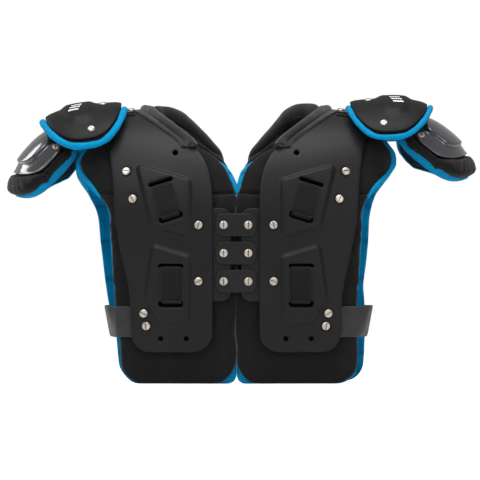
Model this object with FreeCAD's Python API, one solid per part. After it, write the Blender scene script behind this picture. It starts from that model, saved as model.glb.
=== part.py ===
"""Shoulder pads for American football: two arch shells over a foam liner, joined at the
back by three flexible strips and laced at the front, each with a lifting epaulet flap and
a swinging shoulder cup.

Frame: millimetres, +Z up, +Y towards the wearer's chest, +X towards the wearer's right
shoulder. The origin is the middle of the footprint, on the plane the liner feet rest on.

The +X half is drawn and mirrored; the left epaulet and cup hang lower. Layers are offsets
along the normal of one arch surface, whose zero offset is the inner face of the shell.
On that surface, x is the distance from the centre plane and "along" is the distance from
the top of the arch, negative at the back.
"""
import FreeCAD, Part
import math
import os
from FreeCAD import Vector as V

os.makedirs("parts", exist_ok=True)

BACK, FRONT = -1, 1

# ---------------------------------------------------------------- driving dimensions
# Arch surface
DEPTH_HALF = 124.0        # half depth at the centre plane
DEPTH_FALL = 24.0         # how much of it is lost 150 mm out
ARCH_SPRING_Z = 200.0     # where the straight legs turn into the arch
ARCH_TOP_Z = 331.0
ARCH_RS = 130.0           # millimetres of surface per radian of arch
LEG_START = ARCH_RS * math.pi / 2       # "along" where the legs begin
LEG_END = LEG_START + ARCH_SPRING_Z     # "along" at z = 0

# Shell, back tabs and connector strips: thicknesses and offsets
SHELL_T = 3.0
PANEL_RISE = 4.5          # raised panels above the shell
TAB_IN, TAB_OUT = -2.8, -0.3
STRIP_IN, STRIP_OUT = -0.1, 2.5

# Liner foam
PAD_IN, PAD_OUT = -18.0, -4.6
SEAM_ALONG = 170.0        # where the shoulder liner meets the body liners

# Fasteners
HEAD_R, HEAD_H = 5.1, 2.4
SHANK_R = 2.4
NUT_R, NUT_T = 6.0, 1.2
HEAD_GAP = 0.02           # between a screw head and the plate under it
BARE_NUT_Z = -0.25        # nut top right under the shell
LAYER_NUT_Z = -3.1        # nut top under a back tab or side strap
SMALL_HEAD_R, SMALL_NUT_R = 4.6, 5.0    # on the epaulet and cup

# x, z, side, nut top offset, turn of the head slot in degrees
SHELL_SCREWS = [
    (133.5, 258.5, BACK, BARE_NUT_Z, 20), (125.5, 225.5, BACK, BARE_NUT_Z, 75),
    (45.5, 194.0, BACK, LAYER_NUT_Z, 110), (45.6, 125.3, BACK, LAYER_NUT_Z, 160),
    (112.0, 86.0, BACK, LAYER_NUT_Z, 40), (109.0, 70.6, BACK, LAYER_NUT_Z, 95),
    (133.5, 258.5, FRONT, BARE_NUT_Z, 10), (125.5, 225.5, FRONT, BARE_NUT_Z, 60),
]
TAB_SCREWS = SHELL_SCREWS[2:4]
STRAP_SCREWS = SHELL_SCREWS[4:6]

CONNECT_X = 15.0
CONNECT_Z = [194.0 - 34.4 * i for i in range(3)]
EYELET_X = 33.0
EYELET_Z = [205.0 - 30.0 * i for i in range(5)]
MOUNT_SCREW_X, MOUNT_SCREW_ALONG = 128.5, 20.0

# Epaulet
EPAULET_X = 188.0         # middle of the epaulet
EPAULET_CREST_X = 194.0   # where it is highest
EPAULET_Z = 348.4         # underside of the plate at its highest
EPAULET_HALF_W, EPAULET_HALF_Y = 47.5, 86.6
EPAULET_R = 112.0         # curvature from back to front
EPAULET_T = 2.5
EPAULET_PAD_GROW = 5.0
EPAULET_PAD_IN, EPAULET_PAD_OUT = -7.6, -3.6
HINGE_X, HINGE_Z = 133.0, 339.0         # axis of the droop, along Y
LEFT_DROOP = 9.0          # degrees the left epaulet and cup hang lower

# Shoulder cup
CUP_X, CUP_Z = 205.0, 246.0             # middle of its sphere
CUP_TILT = 39.0           # degrees from straight up to the middle of the cup
CUP_R_IN, CUP_R_OUT, CUP_R_RIDGE = 80.2, 83.0, 86.0
CUP_PAD_R_IN, CUP_PAD_R_OUT, CUP_LIP_R = 66.0, 78.0, 85.0

# Straps and lace
WEB_W, WEB_HALF_T = 25.4, 0.7
STRAP_Z, STRAP_W, STRAP_T = 57.0, 38.0, 1.8
LACE_R = 1.5

# Moves the drawing, made about the mirror plane, to the middle of its lopsided footprint
RECENTRE = V(-7.4, -0.555, 0)


# ---------------------------------------------------------------- arch surface
def pchip(table):
    """Monotone cubic through (x, y) pairs, as a function held constant past the ends."""
    xs, ys = zip(*table)
    n = len(xs)
    step = [xs[i + 1] - xs[i] for i in range(n - 1)]
    slope = [(ys[i + 1] - ys[i]) / step[i] for i in range(n - 1)]
    grad = [slope[0]] + [0.0] * (n - 2) + [slope[-1]]
    for i in range(1, n - 1):
        if slope[i - 1] * slope[i] > 0:
            w1 = 2 * step[i] + step[i - 1]
            w2 = step[i] + 2 * step[i - 1]
            grad[i] = (w1 + w2) / (w1 / slope[i - 1] + w2 / slope[i])

    def value(x):
        x = min(max(x, xs[0]), xs[-1])
        i = 0
        while i < n - 2 and x > xs[i + 1]:
            i += 1
        t = (x - xs[i]) / step[i]
        return (ys[i] * (1 + 2 * t) * (1 - t) ** 2 + grad[i] * step[i] * t * (1 - t) ** 2
                + ys[i + 1] * t * t * (3 - 2 * t) + grad[i + 1] * step[i] * t * t * (t - 1))
    return value


def half_depth(x):
    return DEPTH_HALF - DEPTH_FALL * (x / 150.0) ** 2 - 0.012 * max(x - 165.0, 0.0) ** 2


def arch_top(x):
    return ARCH_TOP_Z - 0.0012 * max(x - 100.0, 0.0) ** 2 - 0.02 * max(x - 165.0, 0.0) ** 2


def arch_base(x, along):
    """Point of the arch surface itself."""
    depth = half_depth(x)
    if abs(along) <= LEG_START:
        angle = along / ARCH_RS
        rise = (arch_top(x) - ARCH_SPRING_Z) * math.cos(angle)
        return V(x, depth * math.sin(angle), ARCH_SPRING_Z + rise)
    return V(x, math.copysign(depth, along), ARCH_SPRING_Z - (abs(along) - LEG_START))


def arch_seat(x, along):
    """Point of the arch surface and its outward normal."""
    e = 0.05
    across = arch_base(x + e, along) - arch_base(x - e, along)
    normal = across.cross(arch_base(x, along + e) - arch_base(x, along - e))
    normal.normalize()
    return arch_base(x, along), normal


def arch_point(x, along, offset):
    point, normal = arch_seat(x, along)
    return point + normal * offset


def along_at(x, z, side):
    """The "along" of height z on the back or the front."""
    if z <= ARCH_SPRING_Z:
        return side * (LEG_START + ARCH_SPRING_Z - z)
    cosine = (z - ARCH_SPRING_Z) / (arch_top(x) - ARCH_SPRING_Z)
    return side * ARCH_RS * math.acos(min(1.0, cosine))


def seat_at(x, z, side):
    return arch_seat(x, along_at(x, z, side))


def side_point(side):
    """Arch point as a function of x, z and offset, on one side."""
    def point_at(x, z, offset):
        return arch_point(x, along_at(x, z, side), offset)
    return point_at


# ---------------------------------------------------------------- shape helpers
def skin(grid):
    surface = Part.BSplineSurface()
    surface.interpolate(grid)
    return surface.toShape()


def nearest_edge(face, line):
    """The edge of a face that runs along a row of grid points, either way round."""
    start, end, middle = line[0], line[-1], line[len(line) // 2]

    def miss(edge):
        span = edge.LastParameter - edge.FirstParameter
        mid = edge.valueAt(edge.FirstParameter + 0.5 * span)
        ends = [v.Point for v in edge.Vertexes]
        return min((ends[0] - start).Length + (ends[-1] - end).Length,
                   (ends[0] - end).Length + (ends[-1] - start).Length) \
            + 0.01 * (mid - middle).Length
    return min(face.Edges, key=miss)


def sheet(point_at, nu, nv, d0, d1, u_range=(0.0, 1.0), v_range=(0.0, 1.0)):
    """Closed solid between offsets d0 and d1 of point_at(u, v, offset)."""
    u0, u1 = u_range
    v0, v1 = v_range
    us = [u0 + (u1 - u0) * i / (nu - 1) for i in range(nu)]
    vs = [v0 + (v1 - v0) * i / (nv - 1) for i in range(nv)]
    low = [[point_at(u, v, d0) for v in vs] for u in us]
    high = [[point_at(u, v, d1) for v in vs] for u in us]
    low_face, high_face = skin(low), skin(high)
    faces = [low_face, high_face]
    borders = [(low[i], high[i]) for i in (0, -1)]
    borders += [([row[j] for row in low], [row[j] for row in high]) for j in (0, -1)]
    for low_line, high_line in borders:
        ruled = Part.makeRuledSurface(nearest_edge(low_face, low_line),
                                      nearest_edge(high_face, high_line))
        faces.append(ruled.Faces[0])
    shell = Part.makeShell(faces)
    shell.sewShape()
    # Sewing may wrap the shell in another shape, and may leave it inside out
    if shell.ShapeType != "Shell":
        shell = shell.Shells[0]
    solid = Part.makeSolid(shell)
    if solid.Volume < 0:
        solid.reverse()
    return solid


def rounded(corners, y):
    """Closed wire at depth y from (x, z, radius) corners."""
    turns = []      # start, middle and end of each corner's arc; no middle if it is sharp
    for i, (x, z, radius) in enumerate(corners):
        corner = V(x, y, z)
        if radius <= 0:
            turns.append((corner, None, corner))
            continue
        before, after = corners[i - 1], corners[(i + 1) % len(corners)]
        a = V(before[0] - x, 0, before[1] - z)
        b = V(after[0] - x, 0, after[1] - z)
        length_a, length_b = a.Length, b.Length
        a.normalize()
        b.normalize()
        angle = math.acos(max(-1.0, min(1.0, a.dot(b))))
        cut = min(radius / math.tan(angle / 2), 0.49 * length_a, 0.49 * length_b)
        fitted = cut * math.tan(angle / 2)
        bisector = a + b
        bisector.normalize()
        centre = corner + bisector * (fitted / math.sin(angle / 2))
        turns.append((corner + a * cut, centre - bisector * fitted, corner + b * cut))
    edges = []
    for i, (start, middle, end) in enumerate(turns):
        if middle is not None:
            edges.append(Part.Arc(start, middle, end).toShape())
        following = turns[(i + 1) % len(turns)][0]
        if (following - end).Length > 1e-4:
            edges.append(Part.makeLine(end, following))
    return Part.Wire(edges)


def prism(corners, y0, y1):
    return Part.Face(rounded(corners, y0)).extrude(V(0, y1 - y0, 0))


def rectangle(x0, x1, z0, z1, radius):
    return [(x0, z0, radius), (x1, z0, radius), (x1, z1, radius), (x0, z1, radius)]


def foot_outline(inner_x, outer_x, low_z, radii, rise_x, rise_z, far_in, far_out):
    """Rounded foot from low_z to rise_z, under an area wide enough to keep all above it."""
    return [(inner_x, low_z, radii[0]), (outer_x, low_z, radii[1]), (rise_x, rise_z, 0),
            (far_out, rise_z, 0), (far_out, 400, 0), (far_in, 400, 0),
            (far_in, rise_z, 0), (inner_x, rise_z, 0)]


def oval_prism(middle_x, half_x, half_y, power, z, height):
    """Upright prism on a superellipse centred on y = 0."""
    count = 48
    points = []
    for i in range(count):
        angle = 2 * math.pi * i / count
        c, s = math.cos(angle), math.sin(angle)
        points.append(V(middle_x + half_x * math.copysign(abs(c) ** (2 / power), c),
                        half_y * math.copysign(abs(s) ** (2 / power), s), z))
    curve = Part.BSplineCurve()
    curve.interpolate(Points=points, PeriodicFlag=True)
    return Part.Face(Part.Wire([curve.toShape()])).extrude(V(0, 0, height))


def cyl(radius, z0, z1):
    return Part.makeCylinder(radius, z1 - z0, V(0, 0, z0))


def box(x0, x1, y0, y1, z0, z1):
    return Part.makeBox(x1 - x0, y1 - y0, z1 - z0, V(x0, y0, z0))


def moved(shape, placement):
    result = shape.copy()
    result.Placement = placement.multiply(result.Placement)
    return result


def place(shape, seat, turn=0.0):
    """Moves a shape drawn along +Z at the origin to a seat: a point and a direction."""
    result = shape.copy()
    if turn:
        result.rotate(V(0, 0, 0), V(0, 0, 1), turn)
    point, direction = seat
    return moved(result, FreeCAD.Placement(point, FreeCAD.Rotation(V(0, 0, 1), direction)))


def strap_frame(x, z, side, lean):
    """Placement on the arch: +Z the outward normal, +Y up the strap, +X across it."""
    point, normal = seat_at(x, z, side)
    up = V(math.sin(math.radians(lean)), 0, math.cos(math.radians(lean)))
    up = up - normal * up.dot(normal)
    up.normalize()
    across = up.cross(normal)
    return FreeCAD.Placement(point, FreeCAD.Rotation(across, up, normal, "ZYX"))


# ---------------------------------------------------------------- fasteners
def screw(head_z, end_z, head_r):
    """Slotted truss head standing on head_z, shank down to end_z."""
    head = cyl(head_r, 0, HEAD_H)
    top = [e for e in head.Edges
           if abs(e.BoundBox.ZMin - HEAD_H) < 1e-6 and abs(e.BoundBox.ZMax - HEAD_H) < 1e-6]
    head = head.makeFillet(HEAD_H * 0.8, top)
    head = head.cut(box(-head_r, head_r, -0.65, 0.65, HEAD_H - 1.1, HEAD_H + 1))
    head.translate(V(0, 0, head_z))
    return head.fuse(cyl(SHANK_R, end_z, head_z)).removeSplitter()


def nut(top_z, radius):
    bore = cyl(SHANK_R + 0.05, top_z - NUT_T - 1, top_z + 1)
    return cyl(radius, top_z - NUT_T, top_z).cut(bore)


def fastener(seat, head_z, nut_z, turn, end_z=None, head_r=HEAD_R, nut_r=NUT_R):
    """Screw and nut at a seat; the shank ends flush with the nut unless end_z is given."""
    if end_z is None:
        end_z = nut_z - NUT_T
    return place(screw(head_z, end_z, head_r), seat, turn), place(nut(nut_z, nut_r), seat)


def drill(shape, seats, clearance, low, high):
    """Cuts a screw hole at each seat, between two offsets."""
    for seat in seats:
        shape = shape.cut(place(cyl(SHANK_R + clearance, low, high), seat))
    return shape


def table_seats(table):
    return [seat_at(x, z, side) for x, z, side, _, _ in table]


def mount_seats():
    return [arch_seat(MOUNT_SCREW_X, s) for s in (-MOUNT_SCREW_ALONG, MOUNT_SCREW_ALONG)]


def eyelet_seats():
    return [seat_at(EYELET_X, z, FRONT) for z in EYELET_Z]


# ---------------------------------------------------------------- output
def write(name, shapes):
    """Writes one node from the solids of one shape or a list of shapes."""
    if not isinstance(shapes, (list, tuple)):
        shapes = [shapes]
    # Leaves out slivers a boolean may have made
    solids = [s for shape in shapes for s in shape.Solids if abs(s.Volume) > 1.0]
    for solid in solids:
        solid.translate(RECENTRE)
    node = Part.makeCompound(solids) if len(solids) > 1 else solids[0]
    node.exportStep("parts/%s.step" % name)


def mirror(shape):
    return shape.mirror(V(0, 0, 0), V(1, 0, 0))


def write_both(name, shapes, droop=False):
    """Writes the right node as drawn and the left mirrored, drooping if asked."""
    if not isinstance(shapes, (list, tuple)):
        shapes = [shapes]
    left = [mirror(shape) for shape in shapes]
    if droop:
        for shape in left:
            shape.rotate(V(-HINGE_X, 0, HINGE_Z), V(0, 1, 0), -LEFT_DROOP)
    write("right_" + name, shapes)
    write("left_" + name, left)


def write_fasteners(prefix, pairs, droop=False):
    screws, nuts = zip(*pairs)
    write_both(prefix + "_screws", screws, droop)
    write_both(prefix + "_nuts", nuts, droop)


# ---------------------------------------------------------------- outlines: (along, x)
shell_inner_x = pchip([
    (-420, 28.4), (-190, 28.5), (-170, 29), (-155, 30.5), (-140, 34), (-125, 40),
    (-116, 45), (-107, 50), (-103, 51.5), (-91.3, 60.5), (-74.6, 74.5), (-53.6, 89),
    (-27.9, 100.5), (0, 108), (15, 102), (30, 90), (45, 78), (60, 67), (80, 53),
    (100, 42), (125, 33), (150, 27), (180, 23), (205, 22), (420, 22)])
# The same at the back and the front
shell_outer_x = pchip([
    (0, 168), (60, 166), (90, 159), (120, 154), (150, 151), (204, 147), (217, 145),
    (251, 138.5), (279, 132), (301, 129), (335, 127.4), (420, 127)])
pad_inner_x = pchip([
    (-420, 1.2), (-172, 1.2), (-160, 2), (-151, 5), (-134, 11.3), (-119, 22.4),
    (-107.5, 35.4), (-96.5, 51), (-91, 57), (-74.6, 71), (-53.6, 85), (0, 103), (20, 96),
    (30, 84), (45, 72), (60, 61), (80, 47), (100, 31), (114, 18), (130, 11), (150, 7),
    (170, 4.5), (190, 3.5), (420, 3.0)])
pad_outer_x = pchip([
    (-420, 146), (-350, 147.5), (-310, 150), (-270, 153.5), (-225, 156.5), (-200, 157.5),
    (-180, 160), (-165, 166), (-150, 174), (-135, 181), (-110, 184), (-80, 179),
    (-40, 173), (0, 171), (40, 173), (80, 179), (110, 184), (135, 182), (150, 178),
    (165, 173), (180, 169), (200, 166), (225, 165), (270, 161), (310, 157), (350, 154),
    (420, 152)])

# ---------------------------------------------------------------- arch shell
SHELL_SPAN = LEG_END - 34               # the shell before its feet are trimmed
# (x, z, corner radius) of the raised panels, upper and lower
PANELS = [
    [(123, 268.5, 6), (53.3, 249, 8), (54, 177, 8), (103, 190.5, 8)],
    [(102.5, 172, 7), (53.5, 157, 8), (54.8, 72, 8), (94.5, 72, 10), (111, 107.5, 10)],
]
# Webbing on the panels: middle x and z, lean in degrees, half the distance between
# the slots, width of the top and the low slot
WEBS = [(84.8, 224.0, 17.0, 21.4, 4.2, 7.5), (78.6, 121.0, 0.0, 23.0, 4.6, 8.0)]
WEB_SLOT_LENGTH = 29.5
WEB_SAG_R = 125.0         # radius that sets how much deeper the legs reach on the arch
BACK_HOLES = [(74.0, 281.0), (60.5, 55.3), (91.5, 55.3)]    # x, z
BACK_HOLE_R = 3.0
EYELET_HOLE_R = 3.75
HOOK_FRAME = strap_frame(114.0, 76.0, FRONT, 0.0)


def shell_point(u, along, offset):
    inner = shell_inner_x(along)
    return arch_point(inner + (shell_outer_x(abs(along)) - inner) * u, along, offset)


def panel(corners, side):
    xs = [c[0] for c in corners]
    zs = [c[1] for c in corners]
    block = sheet(side_point(side), 7, 12, 1.5, SHELL_T + PANEL_RISE,
                  (min(xs) - 6, max(xs) + 6), (min(zs) - 12, max(zs) + 12))
    y0, y1 = (-200, -60) if side == BACK else (60, 200)
    return block.common(prism(corners, y0, y1))


def web_slot(width, y):
    """Round-ended slot across the strap, cut right through."""
    half = WEB_SLOT_LENGTH / 2 - width / 2
    slot = box(-half, half, y - width / 2, y + width / 2, -14, 16)
    for x in (-half, half):
        slot = slot.fuse(Part.makeCylinder(width / 2, 30, V(x, y, -14)))
    return slot


def arch_shell():
    shell = sheet(shell_point, 12, 75, 0.0, SHELL_T, v_range=(-SHELL_SPAN, SHELL_SPAN))
    back = prism(foot_outline(28.4, 127.35, 38.7, (24, 24), 127.45, 66, 0, 200), -200, 0)
    front = prism(foot_outline(22.0, 127.5, 52.0, (24, 24), 127.7, 79, 0, 200), 0, 200)
    shell = shell.common(back.fuse(front).removeSplitter())
    for side in (BACK, FRONT):
        for corners in PANELS:
            shell = shell.fuse(panel(corners, side))
    for side in (BACK, FRONT):
        for x, z, lean, half, top_width, low_width in WEBS:
            frame = strap_frame(x, z, side, lean)
            for y, width in ((half, top_width), (-half, low_width)):
                shell = shell.cut(moved(web_slot(width, y), frame))
    shell = drill(shell, table_seats(SHELL_SCREWS) + mount_seats(), 0.4, -6, 12)
    for seat in eyelet_seats():
        shell = shell.cut(place(cyl(EYELET_HOLE_R, -6, 12), seat))
    for x, z in BACK_HOLES:
        shell = shell.cut(Part.makeCylinder(BACK_HOLE_R, 140, V(x, -60, z), V(0, -1, 0)))
    # Slot for the side strap's hook, on the front
    return shell.cut(moved(box(-2.6, 2.6, -21, 21, -14, 16), HOOK_FRAME))


def liner_straps():
    """Webbing over the panels, with a leg through each slot."""
    straps = []
    half_w, t = WEB_W / 2, WEB_HALF_T
    for side in (BACK, FRONT):
        for x, z, lean, half, _, _ in WEBS:
            sag = half * half / (2 * WEB_SAG_R) if z > ARCH_SPRING_Z else 0.0
            end = -3.4 - sag
            run = box(-half_w, half_w, -half - t, half + t, 7.9, 9.3)
            top_leg = box(-half_w, half_w, half - t, half + t, end, 9.3)
            low_leg = box(-half_w, half_w, -half - t, -half + t, end, 9.3)
            strap = run.fuse(top_leg).fuse(low_leg).removeSplitter()
            straps.append(moved(strap, strap_frame(x, z, side, lean)))
    return straps


def lace_eyelets():
    ring = cyl(3.65, -1.0, 3.1).fuse(cyl(6.0, 3.1, 4.0)).cut(cyl(2.6, -3, 6))
    ring = ring.removeSplitter()
    return [place(ring, seat) for seat in eyelet_seats()]


write_both("arch_shell", arch_shell())
write_both("liner_straps", liner_straps())
write_both("lace_eyelets", lace_eyelets())
write_fasteners("shell", [
    fastener(seat_at(x, z, side), SHELL_T + HEAD_GAP, nut_z, turn)
    for x, z, side, nut_z, turn in SHELL_SCREWS])
write_fasteners("epaulet_mount", [
    fastener(seat, 7.0, BARE_NUT_Z, 50, end_z=-1.4, head_r=4.4) for seat in mount_seats()])


# ---------------------------------------------------------------- back tabs and strips
def connector_seats(x=CONNECT_X):
    return [seat_at(x, z, BACK) for z in CONNECT_Z]


def back_tab():
    tab = sheet(side_point(BACK), 8, 12, TAB_IN, TAB_OUT, (2.0, 64.0), (97.0, 219.0))
    tab = tab.common(prism(rectangle(6.2, 60, 100.7, 215, 10), -200, -60))
    return drill(tab, connector_seats() + table_seats(TAB_SCREWS), 0.4, -8, 8)


def connector_strip(z):
    """Strip across the centre plane at height z."""
    strip = sheet(side_point(BACK), 9, 6, STRIP_IN, STRIP_OUT, (-27.0, 27.0), (z - 17, z + 17))
    outline = rectangle(-24.7, 24.7, z - 14.4, z + 14.4, 8)
    strip = strip.common(prism(outline, -200, -60))
    seats = [seat_at(x, z, BACK) for x in (-CONNECT_X, CONNECT_X)]
    return drill(strip, seats, 0.4, -8, 8)


write_both("back_tab", back_tab())
write_fasteners("connector", [
    fastener(seat, STRIP_OUT + 0.05, -3.05, 90, end_z=-4.3) for seat in connector_seats()])
for level, level_z in zip(("top", "middle", "bottom"), CONNECT_Z):
    write("connector_strip_" + level, connector_strip(level_z))


# ---------------------------------------------------------------- liner
def pad_point(u, along, offset):
    inner = pad_inner_x(along)
    return arch_point(inner + (pad_outer_x(along) - inner) * u, along, offset)


def body_pad(along_range, outline, y0, y1):
    """Liner of one leg, cut flat at z = 0, with rounded lower corners."""
    pad = sheet(pad_point, 12, 26, PAD_IN, PAD_OUT, v_range=along_range)
    pad = pad.cut(box(-10, 300, -200, 200, -50, 0))
    return pad.common(prism(outline, y0, y1))


def back_pad():
    outline = foot_outline(1.2, 143.5, 0, (12, 26), 147.4, 57, -50, 250)
    return body_pad((-(LEG_END + 3), -(SEAM_ALONG + 1)), outline, -200, 0)


def front_pad():
    outline = foot_outline(3.0, 149, 0, (14, 28), 153.6, 57, -50, 250)
    return body_pad((SEAM_ALONG + 1, LEG_END + 3), outline, 0, 200)


def shoulder_pad():
    return sheet(pad_point, 12, 36, PAD_IN, PAD_OUT,
                 v_range=(-(SEAM_ALONG - 1), SEAM_ALONG - 1))


write_both("back_pad", back_pad())
write_both("front_pad", front_pad())
write_both("shoulder_pad", shoulder_pad())


# ---------------------------------------------------------------- neck roll
ROLL_W = 17.5
ROLL_HEM = 0.75           # share of the width that bulges; the rest is a flat hem
ROLL_HEM_T, ROLL_BULGE = 1.6, 7.6


def roll_point(u, along, share):
    """share: part of the roll's local thickness."""
    top = ROLL_HEM_T
    if u <= ROLL_HEM:
        top += ROLL_BULGE * math.sin(math.pi * (0.06 + 0.94 * u / ROLL_HEM)) ** 0.8
    x = shell_inner_x(along) - 3.0 + ROLL_W * u
    return arch_point(x, along, SHELL_T + 0.15 + top * share)


write_both("neck_roll", sheet(roll_point, 25, 45, 0.0, 1.0, v_range=(-103.5, 103.5)))

# ---------------------------------------------------------------- epaulet
# x, y of its screws: two into the hinge strap, then one near each end
HINGE_SCREWS = [(163.0, -22.0), (163.0, 22.0)]
END_SCREWS = [(181.0, -77.5), (181.0, 77.5)]


def epaulet_point(x, y, offset):
    bend = 0.0013 if x < EPAULET_CREST_X else 0.004
    from_crest = x - EPAULET_CREST_X
    c = math.sqrt(EPAULET_R ** 2 - y * y) / EPAULET_R
    z = EPAULET_Z - bend * from_crest ** 2 - EPAULET_R * (1 - c)
    normal = V(2 * bend * from_crest, y / EPAULET_R / c, 1)
    normal.normalize()
    return V(x, y, z) + normal * offset


def epaulet_seats(table):
    return [(epaulet_point(x, y, 0), epaulet_point(x, y, 1) - epaulet_point(x, y, 0))
            for x, y in table]


def epaulet_layer(d0, d1, half_x, half_y, power=2.7, x=EPAULET_X):
    block = sheet(epaulet_point, 14, 28, d0, d1,
                  (x - half_x - 4, x + half_x + 4), (-half_y - 3, half_y + 3))
    return block.common(oval_prism(x, half_x, half_y, power, 200, 250))


def epaulet_mount():
    mount = sheet(arch_point, 5, 12, 4.75, 6.95, (124.6, 145.0), (-27.0, 27.0))
    return drill(mount, mount_seats(), 0.3, -6, 12)


def epaulet_plate():
    plate = epaulet_layer(0, EPAULET_T, EPAULET_HALF_W, EPAULET_HALF_Y)
    ridge = epaulet_layer(1.0, EPAULET_T + 3.5, 21.5, 66.0, 3.2, x=193.5)
    plate = plate.fuse(ridge).removeSplitter()
    return drill(plate, epaulet_seats(HINGE_SCREWS + END_SCREWS), 0.3, -12, 12)


def epaulet_pad():
    pad = epaulet_layer(EPAULET_PAD_IN, EPAULET_PAD_OUT,
                        EPAULET_HALF_W + EPAULET_PAD_GROW, EPAULET_HALF_Y + EPAULET_PAD_GROW)
    # Notch round the hinge strap
    return pad.cut(box(120, 173, -31.5, 31.5, 300, 380))


def epaulet_fasteners():
    pairs = []
    for table, nut_z in ((HINGE_SCREWS, -2.6), (END_SCREWS, -0.3)):
        for seat in epaulet_seats(table):
            pairs.append(fastener(seat, EPAULET_T + HEAD_GAP, nut_z, 35,
                                  head_r=SMALL_HEAD_R, nut_r=SMALL_NUT_R))
    return pairs


def hinge_strap(droop, bend_x, bend_length):
    """Strap from under the mount to under an epaulet drooping by some degrees, drawn on
    the right. It passes from the arch to the epaulet over bend_length from bend_x."""
    c, s = math.cos(math.radians(droop)), math.sin(math.radians(droop))

    def point_at(u, v, offset):
        x = 123.4 + (171.0 - 123.4) * u
        y = 29.0 * v
        along = ARCH_RS * math.asin(y / half_depth(x))
        on_arch = arch_point(x, along, 3.35 + offset)
        flat = epaulet_point(x, y, -2.0 + offset)
        dx, dz = flat.x - HINGE_X, flat.z - HINGE_Z
        on_epaulet = V(HINGE_X + dx * c + dz * s, flat.y, HINGE_Z - dx * s + dz * c)
        t = min(1.0, max(0.0, (x - bend_x) / bend_length))
        t = t * t * (3 - 2 * t)
        return on_arch * (1 - t) + on_epaulet * t

    strap = sheet(point_at, 40, 9, 0.0, 1.2, v_range=(-1.0, 1.0))
    strap = drill(strap, mount_seats(), 0.3, -6, 12)
    for seat in epaulet_seats(HINGE_SCREWS):
        hole = place(cyl(SHANK_R + 0.3, -12, 12), seat)
        hole.rotate(V(HINGE_X, 0, HINGE_Z), V(0, 1, 0), droop)
        strap = strap.cut(hole)
    return strap


write_both("epaulet_mount", epaulet_mount())
write_both("epaulet_plate", epaulet_plate(), droop=True)
write_both("epaulet_pad", epaulet_pad(), droop=True)
write_fasteners("epaulet", epaulet_fasteners(), droop=True)
write("right_epaulet_hinge_strap", hinge_strap(0.0, 148.0, 10.0))
write("left_epaulet_hinge_strap", mirror(hinge_strap(LEFT_DROOP, 147.0, 8.0)))


# ---------------------------------------------------------------- shoulder cup
# Drawn round +Z on a sphere at the origin, then tilted outward into place.
def cup_place(shape):
    result = shape.copy()
    result.rotate(V(0, 0, 0), V(0, 1, 0), CUP_TILT)
    result.translate(V(CUP_X, 0, CUP_Z))
    return result


def cup_outline(x, half_x, half_y, power=2.6):
    return oval_prism(x, half_x, half_y, power, 8, 120)


def cup_layer(r0, r1, outline):
    return Part.makeSphere(r1).cut(Part.makeSphere(r0)).common(outline)


def cup_seats():
    seats = []
    x = -19.0
    for y in (-53.0, 53.0):
        point = V(x, y, math.sqrt(CUP_R_IN ** 2 - x * x - y * y))
        normal = V(point)
        normal.normalize()
        seats.append((point, normal))
    return seats


def cup_plate():
    plate = cup_layer(CUP_R_IN, CUP_R_OUT, cup_outline(0, 42.5, 63.0))
    ridge = cup_layer(CUP_R_OUT - 1.5, CUP_R_RIDGE, cup_outline(0, 30.0, 46.0, 3.0))
    plate = plate.fuse(ridge).removeSplitter()
    return cup_place(drill(plate, cup_seats(), 0.3, -6, 12))


def cup_pad():
    """Foam under the cup, with a raised lip along its outer edge."""
    pad = cup_layer(CUP_PAD_R_IN, CUP_PAD_R_OUT, cup_outline(4.0, 54.0, 62.0))
    lip = cup_layer(CUP_PAD_R_OUT - 2, CUP_LIP_R, cup_outline(0, 59.0, 62.0))
    lip = lip.cut(cup_outline(-20, 65.5, 90))
    return cup_place(pad.fuse(lip).removeSplitter())


def cup_fasteners():
    head_z = CUP_R_OUT - CUP_R_IN + HEAD_GAP
    pairs = [fastener(seat, head_z, -0.3, 120, head_r=SMALL_HEAD_R, nut_r=SMALL_NUT_R)
             for seat in cup_seats()]
    return [(cup_place(cup_screw), cup_place(cup_nut)) for cup_screw, cup_nut in pairs]


def cup_hinge_straps():
    """Two short straps under the epaulet, above the cup."""
    y_inner, y_outer, thickness = 23.0, 48.0, 1.4
    drop = EPAULET_R - math.sqrt(EPAULET_R ** 2 - y_outer ** 2)
    z = EPAULET_Z - drop - 10.2
    path = [(184, z - 1.3), (193, z - 0.6), (200, z - 1.2), (206, z - 4.0)]     # x, z
    straps = []
    for y in (-y_outer, y_inner):
        top, low = [], []
        for i, (path_x, path_z) in enumerate(path):
            before, after = path[max(i - 1, 0)], path[min(i + 1, len(path) - 1)]
            run = V(after[0] - before[0], 0, after[1] - before[1])
            run.normalize()
            half = V(-run.z, 0, run.x) * (thickness / 2)
            top.append(V(path_x, y, path_z) + half)
            low.append(V(path_x, y, path_z) - half)
        ring = top + low[::-1]
        profile = Part.Face(Part.makePolygon(ring + [ring[0]]))
        straps.append(profile.extrude(V(0, y_outer - y_inner, 0)))
    return straps


write_both("cup_plate", cup_plate(), droop=True)
write_both("cup_pad", cup_pad(), droop=True)
write_fasteners("cup", cup_fasteners(), droop=True)
write_both("cup_hinge_straps", cup_hinge_straps(), droop=True)

# ---------------------------------------------------------------- side straps
STRAP_STATIONS = 60


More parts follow.
